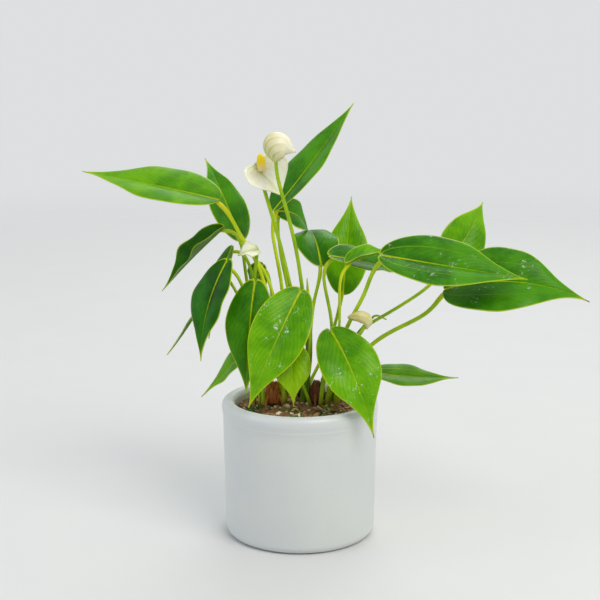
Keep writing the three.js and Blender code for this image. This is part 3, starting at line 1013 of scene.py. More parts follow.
@dataclass
class GlazedPot:
    """The round pot: a slightly tapered wall, a lip band with a thick round rim, and a foot."""

    foot_round: float = 4.0  # radius of the edge of the foot, outside
    hollow_round: float = 3.0  # radius of the corner at the bottom, inside
    wall: float = 6.5
    floor: float = 6.0
    taper: float = 1.0  # how much less the radius is at the foot than under the lip
    lip_height: float = 5.5
    lip_proud: float = 0.5
    foot_ring: float = 4.0  # width of the bare ring that it stands on
    foot_recess: float = 0.8  # how far the disc inside that ring is raised
    around: int = 192
    top: float = field(init=False)
    radius: float = field(init=False)

    def __post_init__(self) -> None:
        """Takes the height and the outer radius from the frame's pot."""
        low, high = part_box("pot")
        self.top = high.z / MM
        self.radius = (high.x - low.x) / 2 / MM

    @staticmethod
    def arc(r: float, z: float, radius: float, angles: np.ndarray) -> list[tuple[float, float]]:
        """Points of an arc about a centre, at angles in degrees from straight out."""
        return [(r + radius * math.cos(math.radians(a)), z + radius * math.sin(math.radians(a)))
                for a in angles]

    def outline(self) -> np.ndarray:
        """Gives the pot's section from the middle of its foot, up outside and down inside.

        Returns:
            Radius and height of each point, in millimetres.
        """
        wall = self.radius - self.lip_proud
        foot = wall - self.taper
        flat = foot - self.foot_round
        points = [(0.4, self.foot_recess), (flat - self.foot_ring - 0.8, self.foot_recess),
                  (flat - self.foot_ring - 0.3, 0.15), (flat - self.foot_ring, 0.0),
                  (flat - 1.0, 0.0)]
        points += self.arc(flat, self.foot_round, self.foot_round, np.linspace(-90, 0, 14))
        lip = self.top - self.lip_height
        for z in np.linspace(self.foot_round + 3, lip - 2.4, 12):
            points.append((foot + self.taper * (z - self.foot_round) / (lip - self.foot_round), z))
        # A soft step, as a plaster mould gives it: a shallow groove, then the band stands out.
        for z in np.linspace(lip - 2.3, lip + 1.8, 18):
            step = float(ramp(z, lip - 2.4, lip + 1.8))
            groove = 0.04 * math.exp(-(((z - lip + 1.2) / 0.5) ** 2))
            points.append((wall - groove + self.lip_proud * step, z))
        half = self.wall / 2
        centre = (self.radius - half, self.top - half)
        points += self.arc(*centre, half, np.linspace(0, 180, 30))
        inside = self.radius - self.wall
        low = foot - self.wall
        hollow = self.hollow_round
        for z in np.linspace(centre[1] - 3, self.floor + hollow, 9):
            points.append((low + (inside - low) * (z - self.floor) / (centre[1] - self.floor), z))
        points += self.arc(low - hollow, self.floor + hollow, hollow, np.linspace(0, -90, 7)[1:])
        points.append((0.4, self.floor))
        return np.array(points)

    def build(self) -> list[bpy.types.Object]:
        """Turns the section into the pot and glazes all but the ring that it stands on.

        Returns:
            The pieces.
        """
        outline = self.outline() * MM
        angles = circle(self.around)
        # Slip-casting leaves the wall out of round, by up to 0.06 mm.
        wobble = 1 - 0.0016 * (1 + np.cos(2 * angles + 0.7)) / 2
        rings = np.stack([np.column_stack([r * wobble * np.cos(angles), r * wobble * np.sin(angles),
                                           np.full(self.around, z)]) for r, z in outline])
        shape = Shape()
        shape.loft(rings, {})
        pot = shape.piece("pot_glazed", SatinGlaze().material(), ["pot"])
        pot.data.materials.append(BareClay().material())
        inner = (self.radius - self.lip_proud - self.taper - self.foot_round
                 - self.foot_ring - 0.6) * MM
        for face in pot.data.polygons:
            reach = math.hypot(face.center.x, face.center.y)
            if face.center.z < 0.16 * MM and reach > inner:
                face.material_index = 1
        return [pot]


# ---------------------------------------------------------------- compost


@dataclass
class CompostBed:
    """What the plant grows in: a mound of compost with bark chips, moss and a few seedlings."""

    chips: int = 480
    moss_patches: int = 30
    tufts_per_patch: int = 110
    seedlings: int = 3
    stem_radius: float = 0.2  # of a seedling
    roughness: float = 1.3  # how far the mound rises and falls
    seed: int = 41
    reach: float = field(init=False)  # the bed's radius, in metres as the next two are
    edge: float = field(init=False)  # height at the wall
    crest: float = field(init=False)  # height in the middle
    random: np.random.Generator = field(init=False)
    waves: list[tuple[np.ndarray, np.ndarray, float]] = field(init=False)

    def __post_init__(self) -> None:
        """Takes the bed's radius and its heights at the wall and the middle from the frame."""
        points, _ = welded("potting_soil")
        radii = np.hypot(points[:, 0], points[:, 1])
        self.reach = float(radii.max()) + 0.3 * MM
        self.crest = float(points[:, 2].max())
        rim = points[radii > radii.max() - 0.2 * MM]
        self.edge = float(rim[:, 2].max())
        self.random = np.random.default_rng(self.seed)
        self.waves = [(self.random.uniform(0.15, 0.75, 2), self.random.uniform(0, 6.28, 2),
                       self.random.uniform(0.3, 1.0)) for _ in range(9)]

    def height(self, x: float | np.ndarray, y: float | np.ndarray) -> float | np.ndarray:
        """Height of the bed's surface at a place, all in metres.

        Args:
            x: How far right.
            y: How far back.

        Returns:
            Its height.
        """
        share = np.minimum(1, np.hypot(x, y) / self.reach)
        swell = sum(a * np.sin(k[0] * x / MM + p[0]) * np.cos(k[1] * y / MM + p[1])
                    for k, p, a in self.waves) / 3
        return (self.edge + (self.crest - self.edge) * (1 - share**2)
                + self.roughness * MM * swell * (1 - share**6) - 0.5 * MM)

    def ground(self) -> bpy.types.Object:
        """Makes the fine, crumbly surface.

        Returns:
            The piece.
        """
        rows, around = 46, 150
        angles = circle(around)
        rings = []
        for r in np.linspace(0.02, 1, rows) * self.reach:
            x, y = r * np.cos(angles), r * np.sin(angles)
            z = self.height(x, y) + self.random.normal(0, 0.24, around) * MM
            rings.append(np.column_stack([x, y, z]))
        for drop, share in ((4, 1.0), (12, 0.98), (12, 0.3)):
            r = self.reach * share
            rings.append(np.column_stack([r * np.cos(angles), r * np.sin(angles),
                                          np.full(around, self.edge - drop * MM)]))
        shape = Shape("crumb_paint")
        shape.loft(np.array(rings), {"crumb_paint": (0.38, 0, 0)})
        peat = Crumb("damp_peat", ("#4e3620", "#84623e", "#ac8a60", "#d4ba90"), 0.7)
        return shape.piece("compost_bed", peat.material(), ["potting_soil"])

    def bark(self) -> bpy.types.Object:
        """Scatters flat, angular chips of bark and a few crumbs of pumice over the bed.

        Returns:
            The piece.
        """
        shape = Shape("crumb_paint")
        for number in range(self.chips):
            radius = self.reach / MM * math.sqrt(self.random.uniform(0, 0.93))
            angle = self.random.uniform(0, 2 * math.pi)
            size = self.random.uniform(0.55, 1.0) ** 1.5
            half = np.array([self.random.uniform(1.4, 3.6), self.random.uniform(0.9, 2.1),
                             self.random.uniform(0.4, 1.1)]) * size
            radius = min(radius, self.reach / MM - half[0] - 0.4)
            work = bmesh.new()
            cloud = self.random.normal(0, 1, (13, 3))
            cloud = unit(cloud) * self.random.uniform(0.75, 1.0, (13, 1)) * half
            turn, tilt, roll = self.random.uniform(0, 6.28), *self.random.normal(0, 0.28, 2)
            about_x = np.array([[1, 0, 0], [0, math.cos(roll), -math.sin(roll)],
                                [0, math.sin(roll), math.cos(roll)]])
            about_y = np.array([[math.cos(tilt), 0, math.sin(tilt)], [0, 1, 0],
                                [-math.sin(tilt), 0, math.cos(tilt)]])
            about_z = np.array([[math.cos(turn), -math.sin(turn), 0],
                                [math.sin(turn), math.cos(turn), 0], [0, 0, 1]])
            cloud = cloud @ (about_z @ about_y @ about_x).T
            x, y = radius * math.cos(angle), radius * math.sin(angle)
            z = float(self.height(x * MM, y * MM)) / MM + half[2] * self.random.uniform(0.1, 0.9)
            for point in cloud + np.array([x, y, z]):
                work.verts.new(point * MM)
            bmesh.ops.convex_hull(work, input=work.verts)
            bmesh.ops.delete(work, geom=[v for v in work.verts if not v.link_faces],
                             context="VERTS")
            work.verts.index_update()
            shade = self.random.uniform(0.1, 0.85) if number % 14 else 1.0
            shape.add(np.array([v.co for v in work.verts]),
                      [[v.index for v in f.verts] for f in work.faces],
                      {"crumb_paint": (shade, 0, 0)})
            work.free()
        bark = Crumb("chipped_bark", ("#5a3a20", "#9c7246", "#cca878", "#f0e4c4"), 0.9)
        return shape.piece("bark_chips", bark.material(), smooth=False)

    def moss(self) -> bpy.types.Object:
        """Grows cushions of moss, each a crowd of tiny pointed leaves.

        Returns:
            The piece.
        """
        shape = Shape("crumb_paint")
        for _ in range(self.moss_patches):
            radius = self.reach / MM * math.sqrt(self.random.uniform(0.12, 0.85))
            angle = self.random.uniform(0, 2 * math.pi)
            spread = self.random.uniform(1.6, 3.8)
            shade = self.random.uniform(0.25, 0.7)
            for _ in range(self.tufts_per_patch):
                x = radius * math.cos(angle) + self.random.normal(0, spread * 0.5)
                y = radius * math.sin(angle) + self.random.normal(0, spread * 0.4)
                if math.hypot(x, y) > self.reach / MM - 0.8:
                    continue
                z = float(self.height(x * MM, y * MM)) / MM
                tall, wide = self.random.uniform(0.45, 1.2), self.random.uniform(0.16, 0.32)
                lean = self.random.normal(0, 0.3, 2)
                turn = self.random.uniform(0, 6.28)
                foot = [(x + wide * math.cos(turn + k * 2.1),
                         y + wide * math.sin(turn + k * 2.1), z) for k in range(3)]
                bulge = [(x + lean[0] * 0.4 + 1.2 * wide * math.cos(turn + k * 2.1),
                          y + lean[1] * 0.4 + 1.2 * wide * math.sin(turn + k * 2.1),
                          z + tall * 0.45) for k in range(3)]
                tip = [(x + lean[0], y + lean[1], z + tall)]
                faces = [(2, 1, 0), (3, 4, 6), (4, 5, 6), (5, 3, 6)]
                faces += [(k, (k + 1) % 3, 3 + (k + 1) % 3, 3 + k) for k in range(3)]
                shape.add(np.array(foot + bulge + tip) * MM, faces,
                          {"crumb_paint": (shade + self.random.normal(0, 0.15), 0, 0)})
        green = Crumb("cushion_moss", ("#2e4c10", "#4e741c", "#769a30", "#a0b850"), 0.8, 0.8)
        return shape.piece("moss_cushions", green.material())

    def seedling_beds(self) -> bpy.types.Object:
        """Sets a few seedlings, each a thread-like stem with two round seed leaves.

        Returns:
            The piece.
        """
        shape = Shape("stalk_place")
        for _ in range(self.seedlings):
            angle = self.random.uniform(math.radians(190), math.radians(350))
            radius = self.random.uniform(12, 26)
            x, y = radius * math.cos(angle), radius * math.sin(angle)
            z = float(self.height(x * MM, y * MM)) / MM
            tall = self.random.uniform(1.6, 2.8)
            lean = self.random.normal(0, 0.5, 2)
            line = np.array([[x, y, z - 0.6], [x + lean[0] * 0.4, y + lean[1] * 0.4, z + tall / 2],
                             [x + lean[0], y + lean[1], z + tall]])
            line = through(line, 8)
            rings = line[:, None] + self.stem_radius * fan(circle(8), *carried_frames(line))
            shape.loft(rings * MM, {"stalk_place": (9.0, 0.0, 0.8)})
            facing = self.random.uniform(0, math.pi)
            for side in (0, math.pi):
                out = np.array([math.cos(facing + side), math.sin(facing + side), 0.25])
                beside = np.array([-out[1], out[0], 0])
                rings = []
                for share in np.linspace(0.02, 0.98, 7):
                    middle = line[-1] + out * 1.9 * share
                    wide = 0.75 * math.sin(math.pi * share**0.8)
                    rings.append(middle + np.stack(
                        [beside * wide * math.cos(t) + np.array([0, 0, 0.12]) * math.sin(t)
                         for t in circle(10)]))
                shape.loft(np.array(rings) * MM, {"stalk_place": (9.0, 0.0, 1.0)})
        skin = StalkSkin("seedling_green", "#6fa21c", "#a4cf3c", "#a4cf3c", "#8fae3c")
        return shape.piece("seedlings", skin.material())

    def build(self) -> list[bpy.types.Object]:
        """Makes the bed and everything that lies or grows on it."""
        return [self.ground(), self.bark(), self.moss(), self.seedling_beds()]


# ---------------------------------------------------------------- the feet of the shoots


@dataclass
class ShootBases:
    """The short stems of the three shoots, each wrapped in dry sheaths that overlap."""

    names: tuple[str, ...] = ("left", "right", "back")
    sheaths: int = 9
    sheath_thickness: float = 0.28
    roots: int = 5  # on each shoot
    seed: int = 17

    def core(self, shape: Shape, centre: np.ndarray, radius: float, height: float,
             random: np.random.Generator) -> None:
        """Adds the knobbly stem inside the sheaths.

        Args:
            shape: What the stem is added to.
            centre: The middle of its foot.
            radius: Its radius.
            height: Its height.
            random: The source of its knobs.
        """
        around = 28
        angles = circle(around)
        phase = random.uniform(0, 6.28, 3)
        rings = []
        for share in np.linspace(0.02, 0.99, 18):
            girth = radius * (0.74 - 0.5 * share**2.2)
            knob = 1 + 0.09 * np.sin(3 * angles + phase[0] + 5 * share) \
                + 0.07 * math.sin(17 * share + phase[1]) + 0.05 * np.cos(7 * angles + phase[2])
            rings.append(centre + np.column_stack([girth * knob * np.cos(angles),
                                                   girth * knob * np.sin(angles),
                                                   np.full(around, height * 0.92 * share)]))
        shape.loft(np.array(rings), {"sheath_paint": (0.1, 0.25, 0)})

    def sheath(self, shape: Shape, centre: np.ndarray, radius: float, height: float,
               facing: float, random: np.random.Generator) -> None:
        """Adds one curved, pointed sheath.

        Args:
            shape: What the sheath is added to.
            centre: The middle of the stem's foot.
            radius: How far out it stands.
            height: How tall it is.
            facing: The direction it is on, in radians.
            random: The source of its bends.
        """
        rows, columns = 13, 13
        span = random.uniform(0.8, 1.15)
        flare = random.uniform(0.02, 0.16)
        lean = random.normal(0, 0.15)
        front, back, paint_front, paint_back = [], [], [], []
        for share in np.linspace(0, 1, rows):
            width = span * (1 - share**1.4) ** 0.8 + 0.04
            turns = np.linspace(-1, 1, columns)
            angles = facing + turns * width + lean * share
            bend = radius * (0.98 + flare * share**2 - 0.22 * math.sin(math.pi * share * 0.5) ** 4)
            ripple = 0.12 * MM * np.sin(turns * 9 + share * 6)
            z = height * share + 0.4 * MM * np.sin(turns * 5 + facing) * share
            for reach, rows_of, paint in ((bend + ripple, front, paint_front),
                                          (bend + ripple - self.sheath_thickness * MM, back,
                                           paint_back)):
                rows_of.append(centre + np.column_stack([reach * np.cos(angles),
                                                         reach * np.sin(angles), z]))
                # The second value makes each sheath darker towards its bottom.
                rim = np.maximum(np.abs(turns) ** 6, ramp(share, 0.75, 1.0))
                paint.append(np.column_stack([rim, np.full(columns, 0.55 * (1 - share) ** 2),
                                              np.zeros(columns)]))
        rings = np.concatenate([np.array(front), np.array(back)[:, ::-1]], axis=1)
        paints = np.concatenate([np.array(paint_front), np.array(paint_back)[:, ::-1]], axis=1)
        shape.loft(rings, {"sheath_paint": paints})

    def root(self, shape: Shape, centre: np.ndarray, radius: float,
             random: np.random.Generator) -> None:
        """Adds one stubby root that leaves the stem and dives into the bed.

        Args:
            shape: What the root is added to.
            centre: The middle of the stem's foot.
            radius: The stem's radius.
            random: The source of its direction.
        """
        facing = random.uniform(0, 2 * math.pi)
        out = np.array([math.cos(facing), math.sin(facing), 0])
        line = through(np.array([centre + out * radius * 0.5 + [0, 0, 4.2 * MM],
                                 centre + out * radius * 1.0 + [0, 0, 3.2 * MM],
                                 centre + out * radius * 1.35 + [0, 0, -0.5 * MM],
                                 centre + out * radius * 1.45 + [0, 0, -3 * MM]]), 14)
        girth = np.linspace(0.95, 0.6, len(line))[:, None, None] * MM
        shape.loft(line[:, None] + girth * fan(circle(10), *carried_frames(line)),
                   {"sheath_paint": (0.55, 0.1, 0)})

    def build(self) -> list[bpy.types.Object]:
        """Makes the foot of each shoot where its frame node stands.

        Returns:
            The pieces.
        """
        fresh = PaperySheath("russet_sheath").material()
        old = PaperySheath("old_sheath", "#3c1c10", "#84421e", "#b47844").material()
        made = []
        for index, name in enumerate(self.names):
            random = np.random.default_rng(self.seed + index)
            low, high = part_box(f"crown_{name}")
            centre = np.array([(low.x + high.x) / 2, (low.y + high.y) / 2, low.z - 0.5 * MM])
            radius, height = (high.x - low.x) / 2, high.z - low.z
            shape = Shape("sheath_paint")
            self.core(shape, centre, radius, height, random)
            for number in range(self.sheaths):
                facing = number * 2.4 + random.normal(0, 0.2)
                tall = height * (0.55 + 0.45 * (number + 1) / self.sheaths) * 0.98
                self.sheath(shape, centre, radius * (1.0 - 0.28 * number / self.sheaths), tall,
                            facing, random)
            for _ in range(self.roots):
                self.root(shape, centre, radius, random)
            finish = fresh if name == "left" else old
            made.append(shape.piece(f"sheathed_stem_{name}", finish, [f"crown_{name}"]))
        return made


# ---------------------------------------------------------------- leaves


@dataclass(frozen=True)
class LeafHabit:
    """How one leaf differs from the others."""

    tone: Tone = Tone.MATURE
    bulge: float = 0.05  # how far each half arches up, as a share of its width
    wave: float = 0.5  # how far the margin waves, in millimetres
    twist: float = 0.0  # degrees from base to tip
    water: float = 0.0  # how much dried water it carries
    scorch: float = 0.0  # how much of its tip is brown
    pinch: float = 0.45  # how drawn-in the tip is
    fold: float = 0.0  # degrees that each half is folded up beyond the frame's fold
    lobe: float = 0.14  # how far the base runs back beside the stalk, over the half-width
    hidden: float = 0.25  # how far the main side veins are sunk out of sight
    width: float = 1.0  # of the frame's
    lean: float = 0.0  # degrees that its upper face turns further to the front
    arch: float = 0.0  # how far its middle rises above the frame's, in millimetres
    sway: tuple[float, float, float] = (0.0, 0.0, 0.0)  # of its tip, in millimetres


@dataclass
class Foliage:
    """The leaf blades: thin, folded along a sunken midrib, quilted between their side veins."""

    habits: dict[str, LeafHabit] = field(default_factory=lambda: {
        "far_left": LeafHabit(Tone.BRIGHT, 0.06, 0.3, pinch=0.5, lobe=0.0, lean=12, arch=1.5),
        "upper_left": LeafHabit(Tone.MATURE, 0.06, 0.7, width=0.95),
        # The DARK tone is painted shade, for the leaves that lie in the shadow of the others.
        "twisted_left": LeafHabit(Tone.DARK, 0.02, 1.0, 24, fold=30, width=0.85),
        "hanging_left": LeafHabit(Tone.DARK, 0.08, 0.5, lobe=0.25, width=1.08),
        "inner_left": LeafHabit(Tone.MATURE),
        "edge_left": LeafHabit(Tone.MATURE),
        "low_left": LeafHabit(Tone.BRIGHT),
        "front_left": LeafHabit(Tone.MATURE, 0.1, 0.5, lobe=0.25, width=0.96),
        "front_middle": LeafHabit(Tone.BRIGHT, 0.05, 0.6, 0, 0.9, lobe=0.16, width=0.93),
        "front_small": LeafHabit(Tone.FRESH, 0.05, 0.5, pinch=0.9, lobe=0.3),
        "front_right": LeafHabit(Tone.BRIGHT, 0.08, 0.4, 0, 0.9, 0.8, 0.8, lobe=0.16, width=0.97,
                                 sway=(0.5, 0, 0)),
        "low_right": LeafHabit(Tone.BRIGHT, 0.05, 0.3, pinch=0.8, hidden=0.05),
        "tall": LeafHabit(Tone.MATURE, 0.04, 0.4, pinch=0.0, width=1.02, lean=8),
        "upper_middle": LeafHabit(Tone.MATURE, wave=0.6, lean=22, sway=(-0.5, 0, -6)),
        "back_middle": LeafHabit(Tone.MATURE, 0.1),
        "back_upright": LeafHabit(Tone.BRIGHT, 0.05, 0.7),
        "dark_right": LeafHabit(Tone.MATURE, 0.05, 0.6),
        "folded_right": LeafHabit(Tone.BRIGHT, 0.08, 0.4),
        "long_right": LeafHabit(Tone.MATURE, 0.07, 0.4, 0, 0.6, pinch=0.3, hidden=0.0),
        "far_right": LeafHabit(Tone.MATURE, 0.07, 0.6, 0, 0.7, 1.0, 0.7, hidden=0.1, lobe=0.04,
                               arch=2.5),
        "upper_right": LeafHabit(Tone.BRIGHT, 0.06, 0.3, pinch=0.3, width=1.05),
        "back_small": LeafHabit(Tone.MATURE, 0.05, 0.3),
    })
    rows: int = 46
    columns: int = 15  # across each half
    thickness: float = 0.42  # beside the midrib
    rib_depth: float = 0.75  # how far the midrib stands out of the under face
    rib_half: float = 0.55  # how far it spreads to each side
    groove: float = 0.3  # how deep the midrib lies in the upper face
    valley: float = 1.1  # radius of the fold
    vein_pitch: float = 4.4  # between one side vein and the next
    vein_sweep: float = 0.46  # how far a side vein runs on towards the tip, over the length
    quilt: float = 0.08  # how far the flesh is puffed up between side veins
    tail_half: float = 0.32  # half-width that the tip isn't drawn thinner than

    def blade(self, name: str, habit: LeafHabit, shape: Shape,
              random: np.random.Generator) -> None:
        """Adds one blade.

        Args:
            name: The leaf's name in the frame.
            habit: How it differs from the others.
            shape: What the blade is added to.
            random: The source of its waves.
        """
        form = leaf_form(name)
        v = crowded(self.rows, 1.8)
        drawn = habit.width * (1 - habit.pinch * 0.6 * ramp(v, 0.5, 0.95))
        reach = form.half * fine_outline(np.clip(v, 0, 1)) * drawn
        fold = form.fold + math.radians(habit.fold)
        reach = np.maximum(reach, self.tail_half * MM * (1 - 0.5 * ramp(v, 0.9, 1)))
        reach[0] = max(reach[0], 0.9 * MM)
        u, side, off = both_halves(self.columns, 1.55)
        out = reach[:, None] * off
        across, up = form.directions(v)
        heading = form.heading(v)
        lean = math.radians(habit.lean) * np.sign(across[:, 1].sum())
        turn = lean + np.radians(habit.twist) * (v - 0.15)[:, None]
        across, up = (across * np.cos(turn) + up * np.sin(turn),
                      up * np.cos(turn) - across * np.sin(turn))
        swing = np.sin(np.pi * v)[:, None] ** 0.6
        phases, beat = random.uniform(0, 6.28, 4), random.uniform(1.5, 2.4)
        wave = np.where(side > 0, np.sin(2 * np.pi * beat * v[:, None] + phases[0]),
                        np.sin(2 * np.pi * beat * 1.1 * v[:, None] + phases[1]))
        wave = wave + 0.4 * np.sin(2 * np.pi * 3.7 * v[:, None] + phases[3] + side)
        phase = (v[:, None] - self.vein_sweep * off**1.2) * form.length() / MM / self.vein_pitch
        phase = phase + np.where(side > 0, 0.35, 0.0)
        puff = np.sin(np.pi * (phase % 1.0)) ** 0.8 - 0.5
        r = self.valley * MM
        rise = (math.sin(fold) * (np.sqrt(out**2 + r * r) - r)
                + habit.bulge * reach[:, None] * np.sin(np.pi * off**0.9) * swing
                - 0.04 * reach[:, None] * off**4
                + habit.wave * MM * wave * off**2 * swing * np.minimum(1, reach[:, None] / (6 * MM))
                + self.quilt * MM * puff * ramp(out, 0.6 * MM, 2 * MM) * (1 - off**4) * swing)
        lobe = habit.lobe * form.half * off**1.5 * np.exp(-v / 0.07)[:, None]
        rib = form.rib(v) + np.array(habit.sway) * MM * v[:, None] ** 2
        rib[:, 2] += habit.arch * MM * 4 * v * (1 - v)
        middle = (rib[:, None] + across[:, None] * (side * out * math.cos(fold))[..., None]
                  + up[:, None] * rise[..., None] - heading[:, None] * lobe[..., None])
        taper = (1 - v)[:, None] ** 0.5
        groove = self.groove * MM * np.exp(-((out / (0.5 * MM)) ** 2)) * taper
        keel = (self.rib_depth * MM * np.exp(-((out / (self.rib_half * MM)) ** 2))
                * (0.25 + 0.75 * taper))
        skin = self.thickness / 2 * MM * (1 - 0.62 * off**10) * np.ones_like(out)
        skin = np.minimum(skin, reach[:, None] * 0.8)
        rings = sheet_rings(middle, across, up, skin - groove, skin + keel)
        # What the finish reads: the place on the blade, distances in millimetres, and marks.
        ones = np.ones_like(out)
        scorch = habit.scorch * ramp(v, 0.955, 0.99)[:, None] * ones
        to_margin = (reach[:, None] - out) / MM
        to_main = np.abs(off - 0.5) * reach[:, None] / MM + habit.hidden
        place = np.stack([u * ones, v[:, None] * ones, 0 * ones], -1)
        gauge = np.stack([out / MM, to_margin, to_main], -1)
        mark = np.stack([phase, scorch, habit.water * ones], -1)
        below = place + np.array([0, 0, 1.0])
        dry = mark * np.array([1, 1, 0])
        shape.loft(rings, {
            "blade_place": round_sheet(place, place[:, [0, -1]], below),
            "blade_gauge": round_sheet(gauge, gauge[:, [0, -1]], gauge),
            "blade_mark": round_sheet(mark, mark[:, [0, -1]], dry)})

    def build(self) -> list[bpy.types.Object]:
        """Makes and dresses every leaf blade.

        Returns:
            The pieces.
        """
        finishes = {tone: WaxyLeaf(tone).material() for tone in Tone}
        made = []
        for number, (name, habit) in enumerate(self.habits.items()):
            shape = Shape("blade_place", "blade_gauge", "blade_mark")
            self.blade(name, habit, shape, np.random.default_rng(100 + number))
            made.append(shape.piece(f"blade_{name}", finishes[habit.tone], [f"leaf_{name}"]))
        return made


# ---------------------------------------------------------------- stalks


@dataclass
class Stalks:
    """The leaf stalks and flower stalks: slim, faintly channelled, with a swollen knee."""

    leaves: tuple[str, ...] = ()
    flowers: tuple[str, ...] = ("tall", "small", "round", "hooded")
    buds: tuple[str, ...] = ("round", "hooded")  # the flowers that are still buds
    yellow: tuple[str, ...] = ("tall", "low_right", "upper_left", "folded_right")
    golden: tuple[str, ...] = ("far_left",)
    into_bud: float = 1.8  # how far a flower stalk runs on into its bud
    knee_stations: int = 5  # last rings of the frame's stalk, left out of the fine one
    tail: float = 2.4  # how far a leaf stalk runs on under its leaf's midrib
    under_rib: tuple[float, float] = (0.75, 0.55)  # how far under it that part starts and ends
    thin: float = 0.85  # a leaf stalk's diameter, before its leaf's share
    per_width: float = 0.036  # how much thicker it is for each millimetre of its leaf's width
    thinnest: float = 1.3
    thickest: float = 2.05
    flower_diameter: float = 1.75
    knee_length: float = 13.0
    knee_swell: float = 0.16  # how much thicker the knee is, over the diameter
    foot_swell: float = 0.35  # how much thicker the foot is
    channel_depth: float = 0.13  # over the radius
    sides: int = 16
    pitch: float = 1.3  # between one ring and the next
    ease: int = 24  # passes that even out the frame's bends

    def tube(self, shape: Shape, node: str, diameter: float, knee: float,
             form: BladeForm | None = None, into: float = 0.0) -> None:
        """Adds one stalk along the middle of its frame node.

        Args:
            shape: What the stalk is added to.
            node: The frame node.
            diameter: The stalk's diameter in millimetres.
            knee: How yellow and swollen its knee is.
            form: The form of the leaf that it carries, under whose midrib it ends.
            into: How far its top runs on into what it carries, in millimetres.
        """
        centres = stalk_rings(node).mean(1)
        tail = 0.0
        if form:
            tail = self.tail
            share = np.array([0.0, tail * MM / form.length()])
            under = (form.rib(share)
                     - form.directions(share)[1] * np.array(self.under_rib)[:, None] * MM)
            centres = np.vstack([centres[: -self.knee_stations], under])
        if into:
            onward = unit(centres[-1] - centres[-2])
            centres = np.vstack([centres, centres[-1] + onward * into * MM])
        centres = np.vstack([centres[0] - [0, 0, SUNK_FOOT * MM], centres])
        length = float(np.linalg.norm(np.diff(centres, axis=0), axis=1).sum()) / MM
        count = max(12, int(length / self.pitch))
        line = through(centres, count)
        for _ in range(self.ease):
            line[1:-1] = (line[:-2] + 2 * line[1:-1] + line[2:]) / 4
        run = np.linspace(0, length, count)
        to_end = length - run
        bent = knee * (1 - ramp(to_end, self.knee_length * 0.45, self.knee_length))
        swollen = np.sin(np.pi * np.clip(to_end / self.knee_length, 0, 1)) ** 0.7
        girth = (1 + self.knee_swell * swollen * min(1, knee * 1.5)
                 + self.foot_swell * np.exp(-run / 5.0))
        girth = girth * (1 - 0.55 * ramp(run, length - tail - 0.6, length) * (1 if tail else 0))
        sides, others = carried_frames(line)
        turns = circle(self.sides)
        # A shallow channel runs along the side that faces up.
        upward = np.stack([sides[:, 2], others[:, 2]], 1)
        channel = np.arctan2(upward[:, 1], upward[:, 0])[:, None]
        away = (turns[None] - channel + np.pi) % (2 * np.pi) - np.pi
        dent = 1 - self.channel_depth * np.exp(-((away / 0.45) ** 2)) * (1 - bent[:, None])
        radius = diameter / 2 * MM * girth[:, None] * dent
        spokes = fan(turns, sides, others)
        rings = line[:, None] + radius[..., None] * spokes
        # Painted light: the side of each stalk that faces up and to the left is painted lighter.
        lit = np.clip(0.5 - 0.5 * spokes[..., 0] + 0.25 * spokes[..., 2], 0, 1)
        ones = np.ones_like(lit)
        shape.loft(rings, {"stalk_place": np.stack(
            [run[:, None] * ones, bent[:, None] * ones, lit], -1)})

    def build(self) -> list[bpy.types.Object]:
        """Makes and dresses every stalk.

        Returns:
            The pieces.
        """
        leafy = StalkSkin("leaf_stalk_green", "#86b20a", "#bcda20", "#bcd01a").material()
        yellow = StalkSkin("leaf_stalk_yellow", "#a6c60a", "#d4e626", "#ceda1a").material()
        golden = StalkSkin("leaf_stalk_golden", "#bed006", "#dae816", "#dcd812").material()
        flowery = StalkSkin("flower_stalk_olive", "#78a40a", "#b0d01e", "#98b81a").material()
        made = []
        for name in self.leaves:
            form = leaf_form(name)
            width = 2 * form.half / MM
            diameter = min(self.thickest, max(self.thinnest, self.thin + self.per_width * width))
            shape = Shape("stalk_place")
            self.tube(shape, f"petiole_{name}", diameter, 1.0, form)
            skin = yellow if name in self.yellow else golden if name in self.golden else leafy
            made.append(shape.piece(f"leaf_stalk_{name}", skin, [f"petiole_{name}"]))
        for name in self.flowers:
            shape = Shape("stalk_place")
            into = self.into_bud if name in self.buds else 0.0
            self.tube(shape, f"peduncle_{name}", self.flower_diameter, 0.0, into=into)
            made.append(shape.piece(f"flower_stalk_{name}", flowery, [f"peduncle_{name}"]))
        return made


